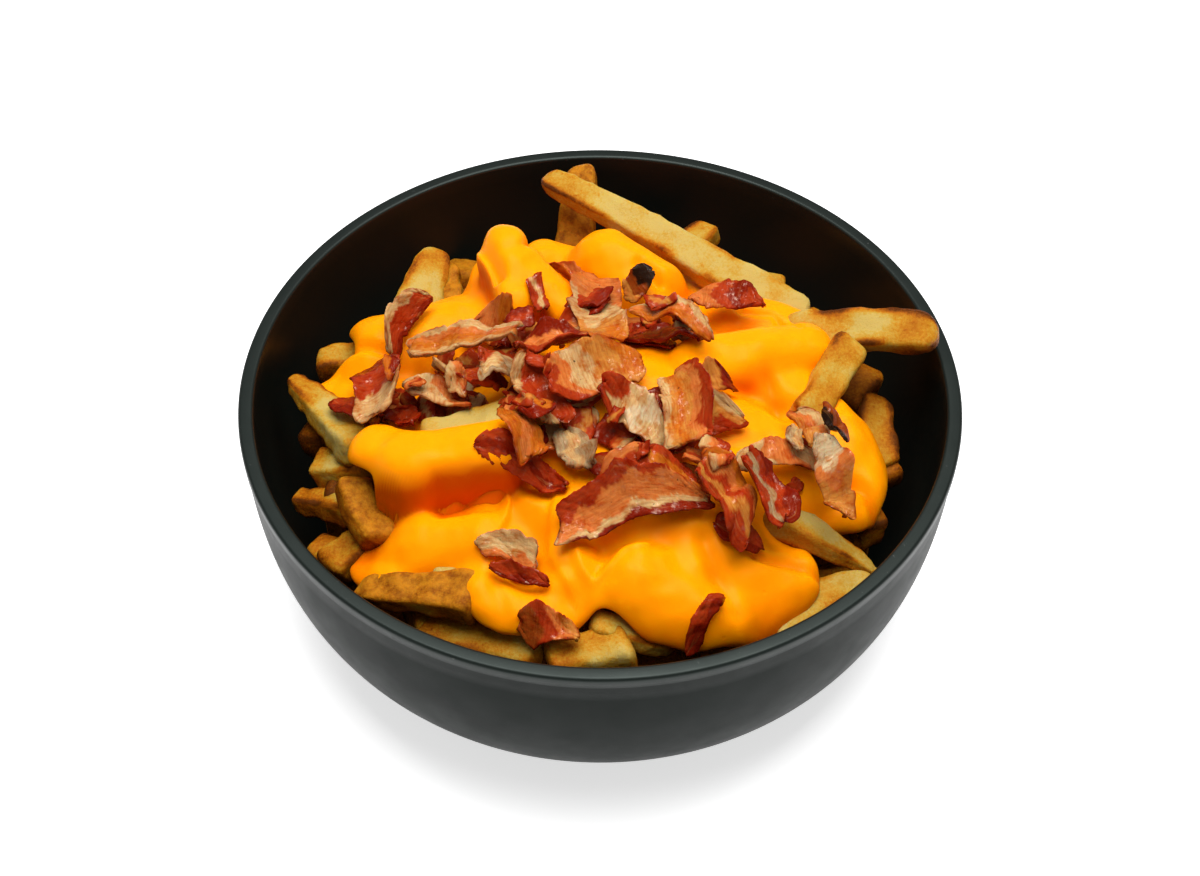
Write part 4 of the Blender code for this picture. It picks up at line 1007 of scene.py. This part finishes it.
def bacon_plan(start, end, width, tilt, bend, draw):
    """Plan of a bacon piece on a few points along it and across: a straight line that bends to
    the side with u (1 - u), narrower towards its two ends, which are ragged."""
    u = np.linspace(0.0, 1.0, PLAN_ALONG)[:, None]
    v = np.linspace(-1.0, 1.0, PLAN_ACROSS)[None, :]
    length = np.linalg.norm(np.subtract(end, start))
    along = np.subtract(end, start) / length
    q = np.abs(2.0 * u - 1.0)
    ends = 1.0 - BACON_TAPER * q ** 2.5 * draw.uniform(0.3, 1.0)
    half = 0.5 * width * ends * (1.0 + draw.uniform(-0.16, 0.16, (PLAN_ALONG, 1)))
    ragged = draw.uniform(-0.06, 0.06, (PLAN_ALONG, PLAN_ACROSS)) * (q > 0.9)
    out = half * v * math.cos(math.radians(tilt)) + bend * 4.0 * u * (1.0 - u)
    run = length * (u + ragged)
    return start[0] + along[0] * run - along[1] * out, start[1] + along[1] * run + along[0] * out


def resting_heights(name, x, y):
    """Middle height of the solid bacon piece at each point of its plan."""
    mesh = frame["nodes"][name].data
    corners = np.empty(3 * len(mesh.vertices))
    mesh.vertices.foreach_get("co", corners)
    corners = corners.reshape(-1, 3) * 1000.0
    away = np.hypot(corners[:, 0] - x.reshape(-1, 1), corners[:, 1] - y.reshape(-1, 1))
    near = away < PLAN_MATCH
    high = np.where(near, corners[:, 2], -1000.0).max(axis=1)
    low = np.where(near, corners[:, 2], 1000.0).min(axis=1)
    return (0.5 * (high + low)).reshape(x.shape)


def wander(where, size, draw):
    """Smooth random line of about unit height along a length: five sine waves."""
    total = 0.0
    for _ in range(5):
        rate = 2.0 * math.pi / size * draw.uniform(0.5, 2.0)
        total = total + np.sin(where * rate + draw.uniform(0.0, 2.0 * math.pi))
    return total / 1.6


def torn_edge(where, corners, depth, fray, draw):
    """Broken line of a few straight stretches, up to depth above and below one, frayed by two
    finer waves of about the height of the fray; where is in millimetres."""
    span = where[-1] - where[0]
    at = where[0] + span * np.sort(np.append(draw.uniform(0.06, 0.94, corners - 2), (0.0, 1.0)))
    line = np.interp(where, at, draw.uniform(1.0 - depth, 1.0 + depth, corners))
    return line + fray * (0.6 * wander(where, 3.4, draw) + 0.5 * wander(where, 1.5, draw))


def normals_of(sheet):
    """Unit normals of a sheet of points."""
    normal = np.cross(np.gradient(sheet, axis=0), np.gradient(sheet, axis=1))
    return normal / (np.linalg.norm(normal, axis=2)[..., None] + TINY)


def bacon_sheet(control, size, square, crimp, u, v, draw):
    """Middle sheet of a piece of the given length and width, through the points of its plan.

    It is narrowed to its two ends by (1 - q ** n) ** 0.5, where q is the distance from its
    middle and n grows with how square the end is. Its sides are torn and its ends cut at a
    slant, sine waves crimp it, and its edges and tips lift.
    """
    length, width = size
    at = np.linspace(0.0, 1.0, PLAN_ALONG)
    line = flow(control.reshape(PLAN_ALONG, -1), at, u, BACON_EASE).reshape(len(u), PLAN_ACROSS, 3)
    forward = np.gradient(line[:, 1], axis=0)
    forward /= np.linalg.norm(forward, axis=1)[:, None]
    q = np.abs(2.0 * u - 1.0)
    power = 1.4 + 1.1 * np.where(u < 0.5, square[0], square[1]) ** 1.4
    narrow = (1.0 - (0.985 * q) ** power) ** 0.5
    corners = int(np.clip(length / 2.6, 4, 9))
    left = torn_edge(u * length, corners, 0.20, 0.20 / width, draw) * narrow
    right = torn_edge(u * length, corners, 0.20, 0.20 / width, draw) * narrow
    across = (v[None, :] * np.where(v > 0.0, left[:, None], right[:, None]))[..., None]
    sheet = (line[:, None, 0] * (0.5 * across * (across - 1.0)) + line[:, None, 1] * (1.0 - across ** 2)
             + line[:, None, 2] * (0.5 * across * (across + 1.0)))
    slant = draw.uniform(-0.30, 0.30, 2)
    near = np.stack((np.exp(-u * length / width), np.exp(-(1.0 - u) * length / width)), axis=1)
    shear = (near @ slant)[:, None] * across[..., 0] * width
    ends = torn_edge(0.5 * v * width, 4, 0.14, 0.18 / width, draw) - 1.0
    torn = width * (q ** 4)[:, None] * ends[None, :]
    sheet = sheet + forward[:, None, :] * (shear + torn)[..., None]
    beat = draw.uniform(6.0, 11.0)
    phase = u[:, None] * length / beat * 2.0 * math.pi + draw.uniform(0.0, 6.0)
    strength = 0.6 + 0.4 * np.sin(1.7 * u[:, None] * length / beat + draw.uniform(0.0, 6.0))
    waves = crimp * strength * np.sin(phase + 1.2 * np.sin(2.2 * v + draw.uniform(0.0, 6.0)))
    curl = draw.uniform(0.1, 0.8, 3) * min(1.0, width / 8.0)
    lift = curl[0] * np.clip(v, 0.0, 1.0) ** 3 + curl[1] * np.clip(-v, 0.0, 1.0) ** 3
    pucker = 0.05 * wander(u[:, None] * length + 0.7 * v * width, 4.0, draw)
    rise = waves + lift + pucker + 0.7 * curl[2] * (q ** 5)[:, None]
    return sheet + normals_of(sheet) * rise[..., None]


def bacon_stripes(letters, place, beside, draw):
    """Colours of the stripes at a place from 0 to 1: soft bounds that wander beside them."""
    place = place + (0.28 * wander(beside, 11.0, draw) + 0.07 * wander(beside, 2.5, draw)) / len(letters)
    spot = np.clip(place * len(letters) - 0.5, 0.0, len(letters) - 1.001)
    low = np.floor(spot).astype(int)
    share = np.clip((spot - low - 0.5) / 0.15 + 0.5, 0.0, 1.0)[..., None]
    share = share * share * (3.0 - 2.0 * share)
    palette = np.array([STRIPES[letter] for letter in letters])
    return palette[low] * (1.0 - share) + palette[low + 1] * share


def bacon_surface(control, size, crimp, look, grid, draw):
    """Points, colours, crispness and fibre coordinates of one piece, in rings round it.

    Its two faces stand off the middle sheet by half the thickness times
    ((1 - v ** 6) (1 - q ** 12)) ** 0.5, where v runs across it and q from its middle to its ends.
    """
    length, width = size
    rows, columns = grid
    way, letters, square, skew = look
    t = np.linspace(0.0, 1.0, rows)
    u = 0.35 * t + 0.65 * (0.5 - 0.5 * np.cos(math.pi * t))
    v = np.sin(np.linspace(-0.5, 0.5, columns) * math.pi)
    sheet = bacon_sheet(control, size, square, crimp, u, v, draw)
    q = np.abs(2.0 * u - 1.0)
    thin = ((1.0 - np.abs(v) ** 6)[None, :] * (1.0 - q ** 12)[:, None]) ** 0.5
    thick = BACON_THICK * min(1.0, 0.35 + width / 12.0) * (1.0 + 0.15 * wander(u * length, 6.0, draw))
    stand = normals_of(sheet) * (0.5 * thick[:, None] * np.maximum(thin, 0.10))[..., None]
    ring = np.concatenate((sheet + stand, (sheet - stand)[:, ::-1]), axis=1)

    run = (u * length)[:, None] + 0.0 * v
    beside = 0.5 * v * width + 0.0 * u[:, None]
    if way == "A":
        colour = bacon_stripes(letters, run / length + 0.1 * skew * beside / width, beside, draw)
        fibre = np.stack((beside, run), axis=2)
    else:
        tilted = beside / width + 0.1 * skew * (run / length - 0.5)
        colour = bacon_stripes(letters, 0.5 + tilted, run, draw)
        fibre = np.stack((run, beside), axis=2)
    rim = np.minimum(0.5 * width * (1.0 - np.abs(v))[None, :], 0.5 * length * (1.0 - q)[:, None])
    patchy = np.clip(0.5 + 0.5 * wander(run + beside, 8.0, draw), 0.0, 1.0)
    crisp = np.exp(-rim / 0.4) * patchy
    sides = [np.concatenate((part, part[:, ::-1]), axis=1) for part in (colour, crisp, fibre)]
    return ring, *sides


def fibre_noise(tree, along, across):
    """Noise on the piece's own fibre coordinates in millimetres, by its rate along the fibres and
    its rate across them."""
    fibre = tree.nodes.new("ShaderNodeUVMap")
    fibre.uv_map = "fibre"
    mapping = tree.nodes.new("ShaderNodeMapping")
    mapping.inputs["Scale"].default_value = (along, across, 1.0)
    tree.links.new(fibre.outputs["UV"], mapping.inputs["Vector"])
    return noise(tree, mapping.outputs["Vector"], 1000.0, 3.0, 0.6)


def crisp_bacon():
    """Crisp bacon: the stripes' colours broken by fibres that run along them, by streaks of fat
    in the lean and by fine ribs across them, fried patches and a few dark specks, darker where an
    edge is crisp, with small greasy glints and a little light that passes through."""
    material, tree, shader, place = new_finish("crisp_bacon")
    stripes = tree.nodes.new("ShaderNodeAttribute")
    stripes.attribute_name = "stripes"
    fibres = fibre_noise(tree, 0.20, 1.7)
    ribs = fibre_noise(tree, 1.5, 0.14)
    streaks = fibre_noise(tree, 0.09, 0.75)
    blotch = noise(tree, place, 3.6, 4.0, 0.6)
    shade = math_of(tree, "ADD", remap(tree, fibres, 0.35, 0.65, 0.0, 0.52),
                    remap(tree, ribs, 0.38, 0.62, 0.0, 0.10))
    marbled = blend_of(tree, remap(tree, streaks, 0.60, 0.70, 0.0, 0.35), stripes.outputs["Color"],
                       FRIED_FAT)
    fried = math_of(tree, "ADD", shade, remap(tree, blotch, 0.50, 0.66, 0.0, 0.5))
    colour = blend_of(tree, fried, marbled, blend_of(tree, 1.0, marbled, FRIED, "MULTIPLY"))
    colour = blend_of(tree, value_of(tree, "crisp"), colour, CRISPED, "MULTIPLY")
    pepper = remap(tree, noise(tree, place, 1.1, 1.0), 0.76, 0.80, 0.0, 0.8)
    colour = blend_of(tree, pepper, colour, PEPPER)
    tree.links.new(colour, shader.inputs["Base Color"])
    tree.links.new(remap(tree, blotch, 0.3, 0.7, 0.12, 0.28), shader.inputs["Roughness"])
    greasy = remap(tree, noise(tree, place, 1.5, 3.0, 0.6), 0.54, 0.66, 0.05, 0.75)
    tree.links.new(greasy, shader.inputs["Specular IOR Level"])
    food_light(shader, (1.0, 0.80, 0.62), 0.30, (1.0, 0.25, 0.10), 1.2)
    height = math_of(tree, "ADD", math_of(tree, "MULTIPLY", blotch, 2.5),
                     math_of(tree, "ADD", math_of(tree, "MULTIPLY", ribs, 0.5), fibres))
    relief_of(tree, shader, height, 0.6, 0.35)
    return material


def colour_and_uv(piece, colour, fibre):
    """Give the piece its stripe colours on points, and its fibre coordinates on face corners."""
    mesh = piece.data
    layer = mesh.color_attributes.new("stripes", "FLOAT_COLOR", "POINT")
    full = np.concatenate((colour, np.ones((len(colour), 1))), axis=1)
    layer.data.foreach_set("color", full.astype(np.float32).ravel())
    corner = np.empty(len(mesh.loops), np.int32)
    mesh.loops.foreach_get("vertex_index", corner)
    uv = mesh.uv_layers.new(name="fibre")
    uv.data.foreach_set("uv", fibre[corner].astype(np.float32).ravel())


def make_bits(name, surfaces, finish):
    """One object from the rings of one or more pieces, each closed on a point at either end."""
    points, colours, crisps, fibres, faces = [], [], [], [], []
    count = 0
    for ring, colour, crisp, fibre in surfaces:
        rows, columns = ring.shape[:2]
        points += [ring.reshape(-1, 3), [ring[0].mean(axis=0), ring[-1].mean(axis=0)]]
        colours += [colour.reshape(-1, 3), colour[0, :1], colour[-1, :1]]
        crisps += [crisp.ravel(), (1.0, 1.0)]
        fibres += [fibre.reshape(-1, 2), fibre[0, :1], fibre[-1, :1]]
        faces += [grid_quads(rows, columns, count)[:, ::-1], fans(rows, columns, count)[:, ::-1]]
        count += rows * columns + 2
    bits = make_piece(name, np.concatenate(points), faces, finish, (("crisp", np.concatenate(crisps)),))
    colour_and_uv(bits, np.concatenate(colours), np.concatenate(fibres))
    return bits


def make_bacon(finish):
    """Make the pieces from the lowest up, each on the solid piece of the same place."""
    for index, (start, end, width, tilt, bend, crimp, *look) in enumerate(BACON):
        name = f"bacon_{index + 1:02d}"
        x, y = bacon_plan(start, end, width, tilt, bend, np.random.default_rng(SEED * 100 + index))
        control = np.stack((x, y, resting_heights(name, x, y)), axis=2)
        length = math.dist(start, end)
        grid = (int(np.clip(length * BACON_ROWS_PER_MM, *BACON_ROWS)), BACON_COLUMNS)
        draw = np.random.default_rng(SEED * 100 + index + 5000)
        surface = bacon_surface(control, (length, width), BACON_CRIMP * crimp, look, grid, draw)
        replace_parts(make_bits(f"crisp_{name}", [surface], finish), name)


def heights_under(grounds, x, y):
    """Height of the highest of the grounds at each point, found by rays from above."""
    hits = [ground.ray_cast((0.001 * a, 0.001 * b, 0.2), (0.0, 0.0, -1.0))[0]
            for ground in grounds for a, b in zip(x.ravel(), y.ravel())]
    heights = np.array([1000.0 * hit.z if hit else 0.0 for hit in hits])
    return heights.reshape(len(grounds), *x.shape).max(axis=0)


def make_scraps(name, layer, under, longest, seed, finish):
    """Small pieces beside the others, the lower layer of each patch, 0, or the upper one, 1: each
    leans on what is under it, the objects whose names begin with one of those given, but reaches
    no more than three millimetres below its highest point."""
    graph = bpy.context.evaluated_depsgraph_get()
    graph.update()
    grounds = [BVHTree.FromObject(piece, graph) for piece in bpy.data.objects
               if piece.name.startswith(under)]
    draw = np.random.default_rng(SEED + seed)
    surfaces = []
    for middle, reach, *counts in SCRAPS:
        for _ in range(counts[layer]):
            heading = draw.uniform(0.0, 2.0 * math.pi)
            length = draw.uniform(0.4, 1.0) * longest
            width = length * draw.uniform(0.45, 0.85)
            place = np.array(middle) + np.array(reach) * draw.uniform(-1.0, 1.0, 2)
            half = 0.5 * length * np.array((math.cos(heading), math.sin(heading)))
            x, y = bacon_plan(place - half, place + half, width, 0.0, 0.0, draw)
            z = heights_under(grounds, x, y)
            z = np.maximum(z, z.max() - SCRAP_DROP) + draw.uniform(0.3, 1.0 + 0.12 * longest)
            z += np.linspace(-1.0, 1.0, PLAN_ACROSS) * width * draw.uniform(-0.25, 0.25)
            letters = SCRAP_STRIPES[draw.integers(len(SCRAP_STRIPES))]
            square = (draw.integers(4, 10), draw.integers(3, 10))
            look = ("W", letters, square, draw.integers(-4, 5))
            surfaces.append(bacon_surface(np.stack((x, y, z), axis=2), (length, width), SCRAP_CRIMP,
                                          look, SCRAP_GRID, draw))
    make_bits(name, surfaces, finish)


bacon_finish = crisp_bacon()
make_scraps("bacon_scraps", 0, ("poured_cheese", "fries_heap"), 12.0, 300, bacon_finish)
make_bacon(bacon_finish)
make_scraps("bacon_flakes", 1, ("poured_cheese", "fries_heap", "crisp_bacon"), 9.0, 400,
            bacon_finish)
